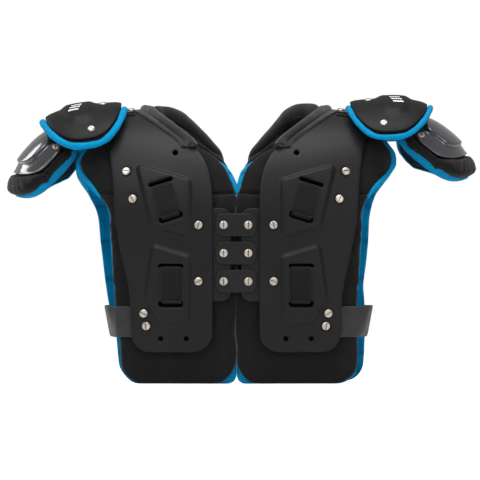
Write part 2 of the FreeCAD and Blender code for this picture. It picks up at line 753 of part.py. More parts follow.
def strap_curve(f):
    """Level curve at f of the strap's height, from under the back shell to the hook."""
    z = STRAP_Z + STRAP_W * f
    back, front = 151.5 + 11.0 * f, 157.0 + 7.0 * f     # x of the strap at the wearer's side
    arch_points = [arch_point(x, along_at(x, z, BACK), -1.9) for x in range(99, 135, 5)]
    plan = [(p.x, p.y) for p in arch_points]
    plan += [(140, -101.3), (145.5, -99.0), (back - 1, -88), (back + 1, -72),
             (back + 2, -45), ((back + front) / 2 + 2, 0), (front + 1.5, 45),
             (front + 1, 75), (front, 88), (front - 3.5, 98), (146, 105.5),
             (139, 109.0), (132, 111.4)]
    end = arch_point(123.8, along_at(123.8, z, FRONT), 5.5)
    plan.append((end.x, end.y))
    curve = Part.BSplineCurve()
    curve.interpolate([V(x, y, z) for x, y in plan])
    return curve


def stations(curve):
    """Points and level normals evenly spaced in the curve's parameter."""
    found = []
    for k in range(STRAP_STATIONS):
        span = curve.LastParameter - curve.FirstParameter
        u = curve.FirstParameter + span * k / (STRAP_STATIONS - 1)
        tangent = curve.tangent(u)[0]
        normal = V(tangent.y, -tangent.x, 0)
        normal.normalize()
        found.append((curve.value(u), normal))
    return found


def side_strap():
    low, top = stations(strap_curve(0.0)), stations(strap_curve(1.0))

    def point_at(u, v, offset):
        i = int(round(u * (STRAP_STATIONS - 1)))
        point = low[i][0] * (1 - v) + top[i][0] * v
        normal = low[i][1] * (1 - v) + top[i][1] * v
        normal.normalize()
        return point + normal * offset

    strap = sheet(point_at, STRAP_STATIONS, 3, -STRAP_T / 2, STRAP_T / 2)
    return drill(strap, table_seats(STRAP_SCREWS), 0.4, -8, 8)


def strap_hook():
    """Plate on the strap's end, and a T bar through the slot to behind the shell."""
    plate = box(-7.0, 9.0, -20.5, 20.5, 4.0, 7.0)
    stem = box(-1.7, 1.7, -18, 18, -1.0, 4.5)
    bar = box(-6.5, 6.5, -18, 18, -3.4, -1.0)
    return moved(plate.fuse(stem).fuse(bar).removeSplitter(), HOOK_FRAME)


write_both("side_strap", side_strap())
write_both("strap_hook", strap_hook())


# ---------------------------------------------------------------- front lace
def front_lace():
    """One cord that crosses outside at each eyelet pair and steps down behind the shell."""
    path = []
    for i, (point, normal) in enumerate(eyelet_seats()):
        right = [point - normal * 2.6, point + normal * 6.2]
        left = [V(-p.x, p.y, p.z) for p in right]
        path += (left + right[::-1]) if i % 2 == 0 else (right + left[::-1])
    lace = None
    for start, end in zip(path, path[1:]):
        run = Part.makeCylinder(LACE_R, (end - start).Length, start, end - start)
        ball = Part.makeSphere(LACE_R, end)
        lace = run.fuse(ball) if lace is None else lace.fuse(run).fuse(ball)
    return lace


write("front_lace", front_lace())
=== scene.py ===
# A pair of shoulder pads: two arch shells over padded liners, joined by strips at the back and a
# lace at the front, each with an epaulet and a shoulder cup hung from webbing hinges.
# The right half lies at +x, the front faces +y and z is up. Sizes are in mm; meshes are in metres.
import math
import bpy
import bmesh
import numpy as np
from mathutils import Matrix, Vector
from mathutils.geometry import delaunay_2d_cdt
from mathutils.kdtree import KDTree


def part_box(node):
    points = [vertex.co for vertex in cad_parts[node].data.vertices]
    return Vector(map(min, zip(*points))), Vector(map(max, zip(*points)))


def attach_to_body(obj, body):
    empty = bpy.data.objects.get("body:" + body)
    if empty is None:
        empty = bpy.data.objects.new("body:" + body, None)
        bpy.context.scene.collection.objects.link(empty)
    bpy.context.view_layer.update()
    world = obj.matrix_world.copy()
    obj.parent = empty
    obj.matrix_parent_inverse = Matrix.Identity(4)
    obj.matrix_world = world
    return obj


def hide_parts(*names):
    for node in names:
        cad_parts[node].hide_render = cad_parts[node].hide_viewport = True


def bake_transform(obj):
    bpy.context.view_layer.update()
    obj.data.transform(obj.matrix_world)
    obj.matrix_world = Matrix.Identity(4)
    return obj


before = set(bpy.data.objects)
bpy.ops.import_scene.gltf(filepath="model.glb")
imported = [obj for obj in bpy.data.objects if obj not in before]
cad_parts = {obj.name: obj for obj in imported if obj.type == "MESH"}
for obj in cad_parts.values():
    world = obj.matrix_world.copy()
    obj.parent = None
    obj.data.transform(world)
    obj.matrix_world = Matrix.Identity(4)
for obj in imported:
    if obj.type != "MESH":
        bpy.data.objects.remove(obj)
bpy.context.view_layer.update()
MM = 0.001
UV_SCALE = 0.1  # the unwrapping is in cm
SIDES = ((1, "right"), (-1, "left"))

# the plane where the halves meet, and the middle from front to back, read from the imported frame
left_box, right_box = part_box("left_arch_shell"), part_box("right_arch_shell")
mount_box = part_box("right_epaulet_mount")
SHIFT = np.array([(left_box[0].x + right_box[1].x) / 2 / MM,
                  (mount_box[0].y + mount_box[1].y) / 2 / MM, 0.0])


# ------------------------------------------------------------------ driving sizes
# The arch: a half-oval from back to front with straight legs below the spring line.
DEPTH_HALF, DEPTH_FALL = 124.0, 24.0   # half depth at the middle, and what it loses 150 mm out
ARCH_SPRING_Z, ARCH_TOP_Z = 200.0, 331.0
ARCH_RS = 130.0                        # mm along the arch per radian of its turn
ARCH_TIP_X = 165.0                     # beyond this the outer end falls away faster
LEG_S = ARCH_RS * math.pi / 2          # where the legs start, along the arch from its crest
S_END = LEG_S + ARCH_SPRING_Z          # where z reaches 0
SHELL_T, PANEL_RISE = 3.0, 4.5

# The epaulet: centre and half sizes in plan, radius across y, height and thickness.
EP_C, EP_HW, EP_HY = 188.0, 47.5, 86.6
EP_R, EP_Z, EP_T, EP_CREST_X = 112.0, 348.4, 2.5, 194
EP_POWER = 2.7                         # squareness of the plan
EP_HINGE = (133.0, 339.0)              # x, z of the line the left epaulet droops about
DROOP = math.radians(9.0)

# The cup: part of a sphere about (x, z), tilted outwards.
CUP_C, CUP_TILT = (205.0, 246.0), math.radians(39.0)
CUP_SPHERE, CUP_IN, CUP_MID = 80.0, 80.2, 81.6  # radii: arc lengths, inner face, mid thickness
CUP_T = 2.8

# Raised panels of each leg, as (x, z, corner radius).
PANELS = [
    [(123, 268.5, 6), (53.3, 249, 8), (54, 177, 8), (103, 190.5, 8)],
    [(102.5, 172, 7), (53.5, 157, 8), (54.8, 72, 8), (94.5, 72, 10), (111, 107.5, 10)],
]
# Webbing loops: x, z, lean in degrees, slot distance from centre, upper and lower slot width.
LOOPS = [(84.8, 224.0, 17.0, 21.4, 4.2, 7.5), (78.6, 121.0, 0.0, 23.0, 4.6, 8.0)]
SLOT_LENGTH = 29.5
# Shell screws: x, z, and -1 for the back or 1 for the front.
SHELL_SCREWS = [(133.5, 258.5, -1), (125.5, 225.5, -1), (45.5, 194.0, -1), (45.6, 125.3, -1),
                (112.0, 86.0, -1), (109.0, 70.6, -1), (133.5, 258.5, 1), (125.5, 225.5, 1)]
EYELET_X, EYELET_Z = 33.0, [205.0, 175.0, 145.0, 115.0, 85.0]
STRIP_Z = {"top": 194.0, "middle": 159.6, "bottom": 125.2}

# Sewn grid on the lining: cell along the arch, cell across it, and the shift of the columns.
QUILT_ROW, QUILT_COL, QUILT_SHIFT = 46.0, 52.0, 8.0
HOLE_STEP = 1.2
SIM_FRAMES = 20


def curve(stations, values):
    """Smooth monotone curve through (station, value), held level beyond its ends."""
    knots, values = np.array(stations, float), np.array(values, float)
    gap = np.diff(knots)
    rise = np.diff(values) / gap
    slope = np.zeros(len(knots))
    slope[0], slope[-1] = rise[0], rise[-1]
    for i in range(1, len(knots) - 1):
        if rise[i - 1] * rise[i] > 0:
            before, after = 2 * gap[i] + gap[i - 1], gap[i] + 2 * gap[i - 1]
            slope[i] = (before + after) / (before / rise[i - 1] + after / rise[i])

    def value(x):
        x = np.clip(np.asarray(x, float), knots[0], knots[-1])
        i = np.clip(np.searchsorted(knots, x, side="right") - 1, 0, len(knots) - 2)
        t = (x - knots[i]) / gap[i]
        return (values[i] * (1 + 2 * t) * (1 - t) ** 2 + slope[i] * gap[i] * t * (1 - t) ** 2
                + values[i + 1] * t * t * (3 - 2 * t) + slope[i + 1] * gap[i] * t * t * (t - 1))
    return value


# Edges of shell and pad: first row is mm along the arch (back negative), second is x there.
shell_in = curve(
    [-420, -190, -170, -155, -140, -125, -116, -107, -103, -91.3, -74.6, -53.6, -27.9, 0, 15,
     30, 45, 60, 80, 100, 125, 150, 180, 205, 420],
    [28.4, 28.5, 29, 30.5, 34, 40, 45, 50, 51.5, 60.5, 74.5, 89, 100.5, 108, 102,
     90, 78, 67, 53, 42, 33, 27, 23, 22, 22])
shell_out = curve(  # alike front and back
    [0, 60, 90, 120, 150, 204, 217, 251, 279, 301, 335, 420],
    [168, 166, 159, 154, 151, 147, 145, 138.5, 132, 129, 127.4, 127])
pad_in = curve(
    [-420, -172, -160, -151, -134, -119, -107.5, -96.5, -91, -74.6, -53.6, 0, 20, 30, 45,
     60, 80, 100, 114, 130, 150, 170, 190, 420],
    [1.2, 1.2, 2, 5, 11.3, 22.4, 35.4, 51, 57, 71, 85, 103, 96, 84, 72,
     61, 47, 31, 18, 11, 7, 4.5, 3.5, 3.0])
pad_out = curve(
    [-420, -350, -310, -270, -225, -200, -180, -165, -150, -135, -110, -80, -40, 0, 40,
     80, 110, 135, 150, 165, 180, 200, 225, 270, 310, 350, 420],
    [146, 147.5, 150, 153.5, 156.5, 157.5, 160, 166, 174, 181, 184, 179, 173, 171, 173,
     179, 184, 182, 178, 173, 169, 166, 165, 161, 157, 154, 152])


# ------------------------------------------------------------------ surfaces
def unit(vectors, guard=0.0):
    return vectors / (np.linalg.norm(vectors, axis=-1, keepdims=True) + guard)


def half_depth(across):
    return (DEPTH_HALF - DEPTH_FALL * (across / 150.0) ** 2
            - 0.012 * np.maximum(across - ARCH_TIP_X, 0.0) ** 2)


def arch_top(across):
    return (ARCH_TOP_Z - 0.0012 * np.maximum(across - 100.0, 0.0) ** 2
            - 0.02 * np.maximum(across - ARCH_TIP_X, 0.0) ** 2)


def arch_raw(across, along):
    """Inner face of the shell: across is x, along runs from the crest, front positive."""
    across, along = np.broadcast_arrays(np.asarray(across, float), np.asarray(along, float))
    turn = np.clip(along, -LEG_S, LEG_S) / ARCH_RS
    y = half_depth(across) * np.sin(turn)
    z = (ARCH_SPRING_Z + (arch_top(across) - ARCH_SPRING_Z) * np.cos(turn)
         - np.maximum(np.abs(along) - LEG_S, 0.0))
    return np.stack([across, y, z], -1)


def arch_normal(across, along):
    e = 0.05
    return unit(np.cross(arch_raw(across + e, along) - arch_raw(across - e, along),
                         arch_raw(across, along + e) - arch_raw(across, along - e)))


def arch(across, along, lift):
    lift = np.asarray(lift, float)[..., None]
    return arch_raw(across, along) + arch_normal(across, along) * lift


def arch_map(flat, lift):
    return arch(flat[:, 0], flat[:, 1], lift)


def along_at(across, z, side):
    """Distance along the arch at height z, on the back (-1) or front (1)."""
    across, z = np.broadcast_arrays(np.asarray(across, float), np.asarray(z, float))
    cosine = np.clip((z - ARCH_SPRING_Z) / (arch_top(across) - ARCH_SPRING_Z), -1, 1)
    leg = LEG_S + ARCH_SPRING_Z - z
    return side * np.where(z <= ARCH_SPRING_Z, leg, ARCH_RS * np.arccos(cosine))


def onto_arch(loop, side):
    """An (x, z) loop as (across, along)."""
    return np.stack([loop[:, 0], along_at(np.abs(loop[:, 0]), loop[:, 1], side)], -1)


def epaulet_point(x, y, lift):
    x, y, lift = np.broadcast_arrays(*(np.asarray(v, float) for v in (x, y, lift)))
    bend = np.where(x < EP_CREST_X, 0.0013, 0.004)
    held = np.clip(y, -EP_R * 0.93, EP_R * 0.93)
    cosine = np.sqrt(EP_R ** 2 - held * held) / EP_R
    z = EP_Z - bend * (x - EP_CREST_X) ** 2 - EP_R * (1 - cosine)
    normal = np.stack([2 * bend * (x - EP_CREST_X), held / EP_R / cosine, np.ones_like(x)], -1)
    return np.stack([x, y, z], -1) + unit(normal) * lift[..., None]


def epaulet_map(flat, lift):
    return epaulet_point(flat[:, 0], flat[:, 1], lift)


def cup_arc(x, y, lift):
    """x, y are arc lengths on the sphere; lift is outward of the plate's inner face."""
    x, y, lift = np.broadcast_arrays(*(np.asarray(v, float) for v in (x, y, lift)))
    reach = np.hypot(x, y) + 1e-9
    angle = reach / CUP_SPHERE
    ray = np.stack([x / reach * np.sin(angle), y / reach * np.sin(angle), np.cos(angle)], -1)
    point = ray * (CUP_IN + lift)[..., None]
    cos, sin = math.cos(CUP_TILT), math.sin(CUP_TILT)
    tilted = np.stack([point[..., 0] * cos + point[..., 2] * sin, point[..., 1],
                       -point[..., 0] * sin + point[..., 2] * cos], -1)
    return tilted + np.array([CUP_C[0], 0, CUP_C[1]])


def to_arc(loop):
    """A loop drawn flat, looking down on the cup, as arc lengths on its sphere."""
    reach = np.hypot(loop[:, 0], loop[:, 1])
    angle = np.arcsin(np.clip(reach / CUP_MID, 0, 0.97))
    return loop * (CUP_SPHERE * angle / (reach + 1e-9))[:, None]


def drooped(points):
    """Right-hand points turned down about the hinge, as the left epaulet hangs."""
    points = np.array(points, float)
    out, up = points[..., 0] - EP_HINGE[0], points[..., 2] - EP_HINGE[1]
    points[..., 0] = EP_HINGE[0] + out * math.cos(DROOP) + up * math.sin(DROOP)
    points[..., 2] = EP_HINGE[1] - out * math.sin(DROOP) + up * math.cos(DROOP)
    return points


def to_side(points, side, droop):
    """Right-hand points on the wanted side, with the left epaulet's droop if asked."""
    if side > 0:
        return np.asarray(points, float)
    return (drooped(points) if droop else np.asarray(points, float)) * (-1, 1, 1)


# ------------------------------------------------------------------ lines and outlines
def lengths(path):
    """Running length at each point of a path."""
    return np.concatenate([[0], np.cumsum(np.linalg.norm(np.diff(path, axis=0), axis=1))])


def sample(path, run, wanted):
    return np.stack([np.interp(wanted, run, path[:, k]) for k in range(path.shape[1])], -1)


def relax(path, times):
    for _ in range(times):
        path[1:-1] = (path[:-2] + 2 * path[1:-1] + path[2:]) / 4
    return path


def turns(count):
    return np.linspace(0, 2 * math.pi, count, endpoint=False)


def rounded(corners, step=1.5):
    """Closed outline from (x, y, radius) corners."""
    outline = []
    for i, (x, y, radius) in enumerate(corners):
        corner = np.array([x, y], float)
        if radius <= 0:
            outline.append(corner)
            continue
        back = np.array(corners[i - 1][:2], float) - corner
        ahead = np.array(corners[(i + 1) % len(corners)][:2], float) - corner
        back_len, ahead_len = np.linalg.norm(back), np.linalg.norm(ahead)
        back, ahead = back / back_len, ahead / ahead_len
        angle = math.acos(max(-1, min(1, float(back @ ahead))))
        cut = min(radius / math.tan(angle / 2), 0.49 * back_len, 0.49 * ahead_len)
        radius = cut * math.tan(angle / 2)
        middle = (back + ahead) / np.linalg.norm(back + ahead)
        centre = corner + middle * radius / math.sin(angle / 2)
        start, end = corner + back * cut - centre, corner + ahead * cut - centre
        first = math.atan2(start[1], start[0])
        sweep = (math.atan2(end[1], end[0]) - first + math.pi) % (2 * math.pi) - math.pi
        count = max(3, int(abs(sweep) * radius / step) + 2)
        for k in range(count):
            turn = first + sweep * k / (count - 1)
            outline.append(centre + radius * np.array([math.cos(turn), math.sin(turn)]))
    return np.array(outline)


def resample(line, step, closed=True):
    line = np.array(line, float)
    if closed:
        line = np.vstack([line, line[:1]])
    moved = np.linalg.norm(np.diff(line, axis=0), axis=1) > 1e-6
    line = line[np.concatenate([[True], moved])]
    run = lengths(line)
    count = max(8 if closed else 2, int(round(run[-1] / step)) + (0 if closed else 1))
    return sample(line, run, np.linspace(0, run[-1], count, endpoint=not closed))


def edge_distance(points, starts, ends, chunk=4000):
    """Distance from each point to the nearest edge, in chunks to save memory."""
    distance = np.zeros(len(points))
    span = ends - starts
    square = (span ** 2).sum(1) + 1e-12
    for i in range(0, len(points), chunk):
        part = points[i:i + chunk, None, :]
        t = np.clip(((part - starts) * span).sum(2) / square, 0, 1)
        nearest = starts + t[..., None] * span
        distance[i:i + chunk] = np.sqrt(((part - nearest) ** 2).sum(2)).min(1)
    return distance


def inside(points, loop):
    x, y = points[:, 0][:, None], points[:, 1][:, None]
    x0, y0 = loop[:, 0], loop[:, 1]
    x1, y1 = np.roll(loop, -1, 0).T
    crossed = ((y0 > y) != (y1 > y)) & (x < (x1 - x0) * (y - y0) / (y1 - y0 + 1e-12) + x0)
    return crossed.sum(1) % 2 == 1


def depth_in(points, loop):
    """Distance inside a loop, negative outside."""
    distance = edge_distance(points, loop, np.roll(loop, -1, 0))
    return np.where(inside(points, loop), distance, -distance)


def ease(x, low, high):
    t = np.clip((np.asarray(x, float) - low) / (high - low), 0, 1)
    return t * t * (3 - 2 * t)


def squared_circle(angles, power):
    """Cosine and sine of a superellipse; a power above 2 squares it off."""
    return [np.sign(v) * np.abs(v) ** (2 / power) for v in (np.cos(angles), np.sin(angles))]


def oval(centre_x, half_x, half_y, power, step=2.0):
    cos, sin = squared_circle(turns(240), power)
    return resample(np.stack([centre_x + half_x * cos, half_y * sin], -1), step)


def circle(x, y, radius, count=20):
    turn = turns(count)
    return np.stack([x + radius * np.cos(turn), y + radius * np.sin(turn)], -1)


def loop_normals(loop):
    """Inward normals of a closed loop."""
    tangent = np.roll(loop, -1, 0) - np.roll(loop, 1, 0)
    normal = unit(np.stack([-tangent[:, 1], tangent[:, 0]], -1), 1e-12)
    ahead = np.roll(loop, -1, 0)
    area = 0.5 * (loop[:, 0] * ahead[:, 1] - ahead[:, 0] * loop[:, 1]).sum()
    return normal if area > 0 else -normal


def insets(loop, distances):
    normal = loop_normals(loop)
    return [loop + normal * distance for distance in distances]


# ------------------------------------------------------------------ mesh builders
def link(mesh, name):
    obj = bpy.data.objects.new(name, mesh)
    bpy.context.scene.collection.objects.link(obj)
    return obj


def to_mesh(name, verts, faces, uv, mats, face_mat=None):
    """verts in mm; uv per vertex, or None."""
    mesh = bpy.data.meshes.new(name)
    mesh.from_pydata(((np.asarray(verts) + SHIFT) * MM).tolist(), [],
                     [tuple(int(i) for i in face) for face in faces])
    for mat in mats:
        mesh.materials.append(mat)
    if face_mat is not None:
        mesh.polygons.foreach_set("material_index", np.asarray(face_mat, np.int32))
    if uv is not None:
        layer = mesh.uv_layers.new(name="UVMap")
        index = np.zeros(len(mesh.loops), np.int32)
        mesh.loops.foreach_get("vertex_index", index)
        layer.data.foreach_set("uv", np.asarray(uv, np.float32)[index].ravel())
    mesh.polygons.foreach_set("use_smooth", np.ones(len(mesh.polygons), bool))
    mesh.update()
    obj = link(mesh, name)
    work = bmesh.new()
    work.from_mesh(mesh)
    bmesh.ops.recalc_face_normals(work, faces=work.faces)
    work.to_mesh(mesh)
    work.free()
    return obj


def patch(outline, top, bottom, surface, spacing, rim, rings=(0.2, 0.6, 1.0), edge_step=2.0,
          holes=(), extra=None, mat_fn=None):
    """Closed thick sheet over a flat outline with holes.

    top and bottom are offsets from the surface, as numbers or functions of the flat points. The
    edge is rounded over rim mm, with rows of points at the rings' shares of it.
    """
    loops = [resample(outline, edge_step)] + [resample(hole, HOLE_STEP) for hole in holes]
    starts = np.vstack(loops)
    ends = np.vstack([np.roll(loop, -1, 0) for loop in loops])

    def in_sheet(points):
        found = inside(points, loops[0])
        for hole in loops[1:]:
            found &= ~inside(points, hole)
        return found

    def offsets(value, points):
        value = value(points) if callable(value) else value
        return np.broadcast_to(value, len(points)).astype(float)

    loose = []
    for i, loop in enumerate(loops):
        inward = loop_normals(loop) * (1 if i == 0 else -1)
        for ring in rings:
            inset = rim * ring
            row = loop + inward * inset
            loose.append(row[edge_distance(row, starts, ends) > inset * 0.93])
    low, high = loops[0].min(0), loops[0].max(0)
    columns = np.arange(low[0], high[0], spacing)
    rows = np.arange(low[1], high[1], spacing * 0.87)
    grid = np.array([(x + (spacing / 2 if j % 2 else 0), y)
                     for j, y in enumerate(rows) for x in columns]) + 0.13
    if extra is not None:
        extra = extra[edge_distance(extra, starts, ends) > rim * 1.05]
        near = np.zeros(len(grid), bool)
        for point in extra:
            near |= np.abs(point - grid).sum(1) < spacing * 0.6
        loose.append(extra)
        grid = grid[~near]
    room = edge_distance(grid, starts, ends)
    loose.append(grid[room > rim * rings[-1] + spacing * 0.35])
    loose = np.vstack(loose)
    loose = loose[in_sheet(loose)]

    edges, base = [], 0
    for loop in loops:
        count = len(loop)
        edges += [(base + i, base + (i + 1) % count) for i in range(count)]
        base += count
    result = delaunay_2d_cdt([Vector((float(x), float(y))) for x, y in np.vstack([starts, loose])],
                             edges, [], 0, 1e-5)
    flat = np.array([(v.x, v.y) for v in result[0]])
    tris = np.array([face for face in result[2] if len(face) == 3], int)
    tris = tris[in_sheet(flat[tris].mean(1))]
    room = edge_distance(flat, starts, ends)
    on_edge = room < 1e-3
    tris = tris[~on_edge[tris].all(1)]
    used, tris = np.unique(tris, return_inverse=True)
    tris = tris.reshape(-1, 3)
    flat, room, on_edge = flat[used], room[used], on_edge[used]

    high, low = offsets(top, flat), offsets(bottom, flat)
    share = np.clip(room / rim, 0, 1)
    share = (1 - (1 - share) ** 2) ** 0.5
    mid = (high + low) / 2
    upper = surface(flat, mid + (high - mid) * share)
    lower = surface(flat, mid + (low - mid) * share)
    # both faces share the vertices of the edge
    free = np.where(~on_edge)[0]
    under = np.arange(len(flat))
    under[free] = len(flat) + np.arange(len(free))
    both = np.vstack([flat, flat[free]])
    return {"verts": np.vstack([upper, lower[free]]),
            "faces": np.vstack([tris, under[tris][:, ::-1]]),
            "uv": both * UV_SCALE, "flat": both,
            "face_mat": None if mat_fn is None else np.tile(mat_fn(flat[tris].mean(1)), 2)}


def emit(name, data, mats, side=1, droop=False):
    faces = data["faces"] if side > 0 else data["faces"][:, ::-1]
    verts = to_side(data["verts"], side, droop)
    return to_mesh(name, verts, faces, data["uv"], mats, data["face_mat"])


def grid_uv(widths, run):
    return np.stack(np.meshgrid(widths, run), -1) * UV_SCALE


def capped(sections, uv, centres, pushes, caps, tip):
    """Closed solid through closed sections. Each end closes in rings of caps (size, push)."""
    count, sides = sections.shape[:2]
    around = [(j, (j + 1) % sides) for j in range(sides)]
    faces = [(i * sides + j, (i + 1) * sides + j, (i + 1) * sides + k, i * sides + k)
             for i in range(count - 1) for j, k in around]
    verts, uvs = [sections.reshape(-1, 3)], [uv.reshape(-1, 2)]
    base = count * sides
    for end, centre, push in zip((0, count - 1), centres, pushes):
        previous = end * sides
        for size, out in caps:
            verts.append(centre + (sections[end] - centre) * size + push * out)
            uvs.append(uv[end])
            faces += [(previous + j, previous + k, base + k, base + j) for j, k in around]
            previous = base
            base += sides
        verts.append((centre + push * tip)[None])
        uvs.append(uv[end][:1])
        faces += [(previous + j, previous + k, base) for j, k in around]
        base += 1
    return np.vstack(verts), faces, np.vstack(uvs)


def path_frames(path, up=None):
    """Tangent, normal and binormal; without up, z is carried along the path."""
    tangent = unit(np.gradient(path, axis=0), 1e-12)
    if up is not None:
        normal = unit(up - (up * tangent).sum(1, keepdims=True) * tangent, 1e-12)
    else:
        normal = np.zeros_like(path)
        carried = np.array([0, 0, 1.0])
        for i, ahead in enumerate(tangent):
            carried = unit(carried - carried @ ahead * ahead)
            normal[i] = carried
    return tangent, normal, np.cross(tangent, normal)


def tube(name, path, mat, radius, radius_across=None, up=None, sides=12, power=2.0, side=1,
         droop=False, radius_fn=np.ones_like):
    """Tube along a path; radius runs along the up normal, radius_fn scales it from end to end."""
    radius_across = radius_across or radius
    tangent, normal, binormal = path_frames(path, up)
    cos, sin = squared_circle(turns(sides), power)
    scale = radius_fn(np.linspace(0, 1, len(path)))
    spokes = (normal[:, None] * (radius * cos)[:, None]
              + binormal[:, None] * (radius_across * sin)[:, None]) * scale[:, None, None]
    girth = 2 * math.pi * max(radius, radius_across)
    uv = grid_uv(np.linspace(0, girth, sides, endpoint=False), lengths(path))
    pushes = [tangent[end] * sign * min(radius, radius_across) * 0.55 * scale[end]
              for end, sign in ((0, -1), (-1, 1))]
    verts, faces, uv = capped(path[:, None] + spokes, uv, path[[0, -1]], pushes,
                              caps=((0.8, 0.55), (0.45, 0.88)), tip=1.0)
    return to_mesh(name, to_side(verts, side, droop), faces, uv, [mat])


def loft(sections, uv):
    """Closed solid through sections, with square-cut, slightly rounded ends, as triangles."""
    centres, pushes = [], []
    for end, inner in ((0, 1), (-1, -2)):
        centre = sections[end].mean(0)
        out = centre - sections[inner].mean(0)
        centres.append(centre)
        pushes.append(out / np.linalg.norm(out))
    verts, faces, uv = capped(sections, uv, centres, pushes,
                              caps=((0.93, 0.5), (0.8, 0.75), (0.4, 0.9)), tip=0.9)
    quads = np.array([face if len(face) == 4 else (*face, face[-1]) for face in faces])
    real = quads[quads[:, 2] != quads[:, 3]]
    return {"verts": verts, "faces": np.vstack([quads[:, [0, 1, 2]], real[:, [0, 2, 3]]]),
            "uv": uv, "face_mat": None}


def sheet_normals(grid):
    return unit(np.cross(np.gradient(grid, axis=0), np.gradient(grid, axis=1)), 1e-12)


def two_faced(name, grid, offset, uv, mat, side, droop):
    """Closed sheet offset to both sides of a grid of points."""
    rows, cols = grid.shape[:2]
    under = rows * cols
    faces = []
    for i in range(rows - 1):
        near, far = i * cols, (i + 1) * cols
        for j in range(cols - 1):
            quad = (near + j, far + j, far + j + 1, near + j + 1)
            faces += [quad, tuple(under + k for k in quad[::-1])]
        near_end, far_end = near + cols - 1, far + cols - 1
        faces += [(near, under + near, under + far, far),
                  (near_end, far_end, under + far_end, under + near_end)]
    last = (rows - 1) * cols
    for j in range(cols - 1):
        end = last + j
        faces += [(j, j + 1, under + j + 1, under + j),
                  (end, under + end, under + end + 1, end + 1)]
    verts = np.vstack([(grid + offset).reshape(-1, 3), (grid - offset).reshape(-1, 3)])
    uv = uv.reshape(-1, 2)
    return to_mesh(name, to_side(verts, side, droop), faces, np.vstack([uv, uv]), [mat])


def ribbon(name, grid, normals, thick, mat, side=1, droop=False, width=None):
    """Strap from a grid (along, across) and the normals along it, with rounded selvedges."""
    across = np.linspace(-1, 1, grid.shape[1])
    profile = 0.25 + 0.75 * (1 - np.abs(across) ** 8) ** 0.5
    offset = normals[:, None, :] * (thick / 2) * profile[None, :, None]
    width = width or np.linalg.norm(grid[0, -1] - grid[0, 0])
    uv = grid_uv((across + 1) / 2 * width, lengths(grid[:, grid.shape[1] // 2]))
    return two_faced(name, grid, offset, uv, mat, side, droop)


def thick_sheet(name, grid, thick, mat, side, droop):
    uv = grid_uv(lengths(grid[0]), lengths(grid[:, 0]))
    return two_faced(name, grid, sheet_normals(grid) * thick / 2, uv, mat, side, droop)


# Rings of one stitch: place along it, share of its radius, rise in mm.
STITCH = np.array([(-0.5, 0.35, -0.25), (-0.36, 0.9, 0.0), (0.0, 1.0, 0.12), (0.36, 0.9, 0.0),
                   (0.5, 0.35, -0.25)])


def stitches(name, path, normals, mat, pitch=3.0, length=1.9, radius=0.32, lift=0.15, side=1,
             droop=False):
    """A row of thread stitches along a path, lying on a surface whose normals are given."""
    run = lengths(path)
    count = int(run[-1] / pitch)
    at = (np.arange(count) + 0.5) * pitch
    centre = sample(path, run, at)
    normal = unit(sample(normals, run, at))
    tangent = unit(sample(path, run, at + 0.5) - sample(path, run, at - 0.5), 1e-9)
    binormal = np.cross(tangent, normal)
    where, size, rise = STITCH.T
    spine = (centre[:, None] + tangent[:, None] * (where * length)[:, None]
             + normal[:, None] * (lift + rise)[:, None])
    turn = turns(6)
    ring = (normal[:, None] * np.cos(turn)[:, None]
            + binormal[:, None] * np.sin(turn)[:, None])
    verts = (spine[:, :, None] + ring[:, None] * (radius * size)[:, None, None]).reshape(-1, 3)
    faces = []
    for base in range(0, count * 30, 30):
        for start in range(base, base + 24, 6):
            for j in range(6):
                k = (j + 1) % 6
                faces.append((start + j, start + 6 + j, start + 6 + k, start + k))
        faces.append(tuple(base + j for j in range(6))[::-1])
        faces.append(tuple(base + 24 + j for j in range(6)))
    return to_mesh(name, to_side(verts, side, droop), faces, None, [mat])


def join(objs, name):
    bpy.ops.object.select_all(action="DESELECT")
    for obj in objs:
        obj.select_set(True)
    bpy.context.view_layer.objects.active = objs[0]
    bpy.ops.object.join()
    objs[0].name = name
    objs[0].data.name = name
    return objs[0]


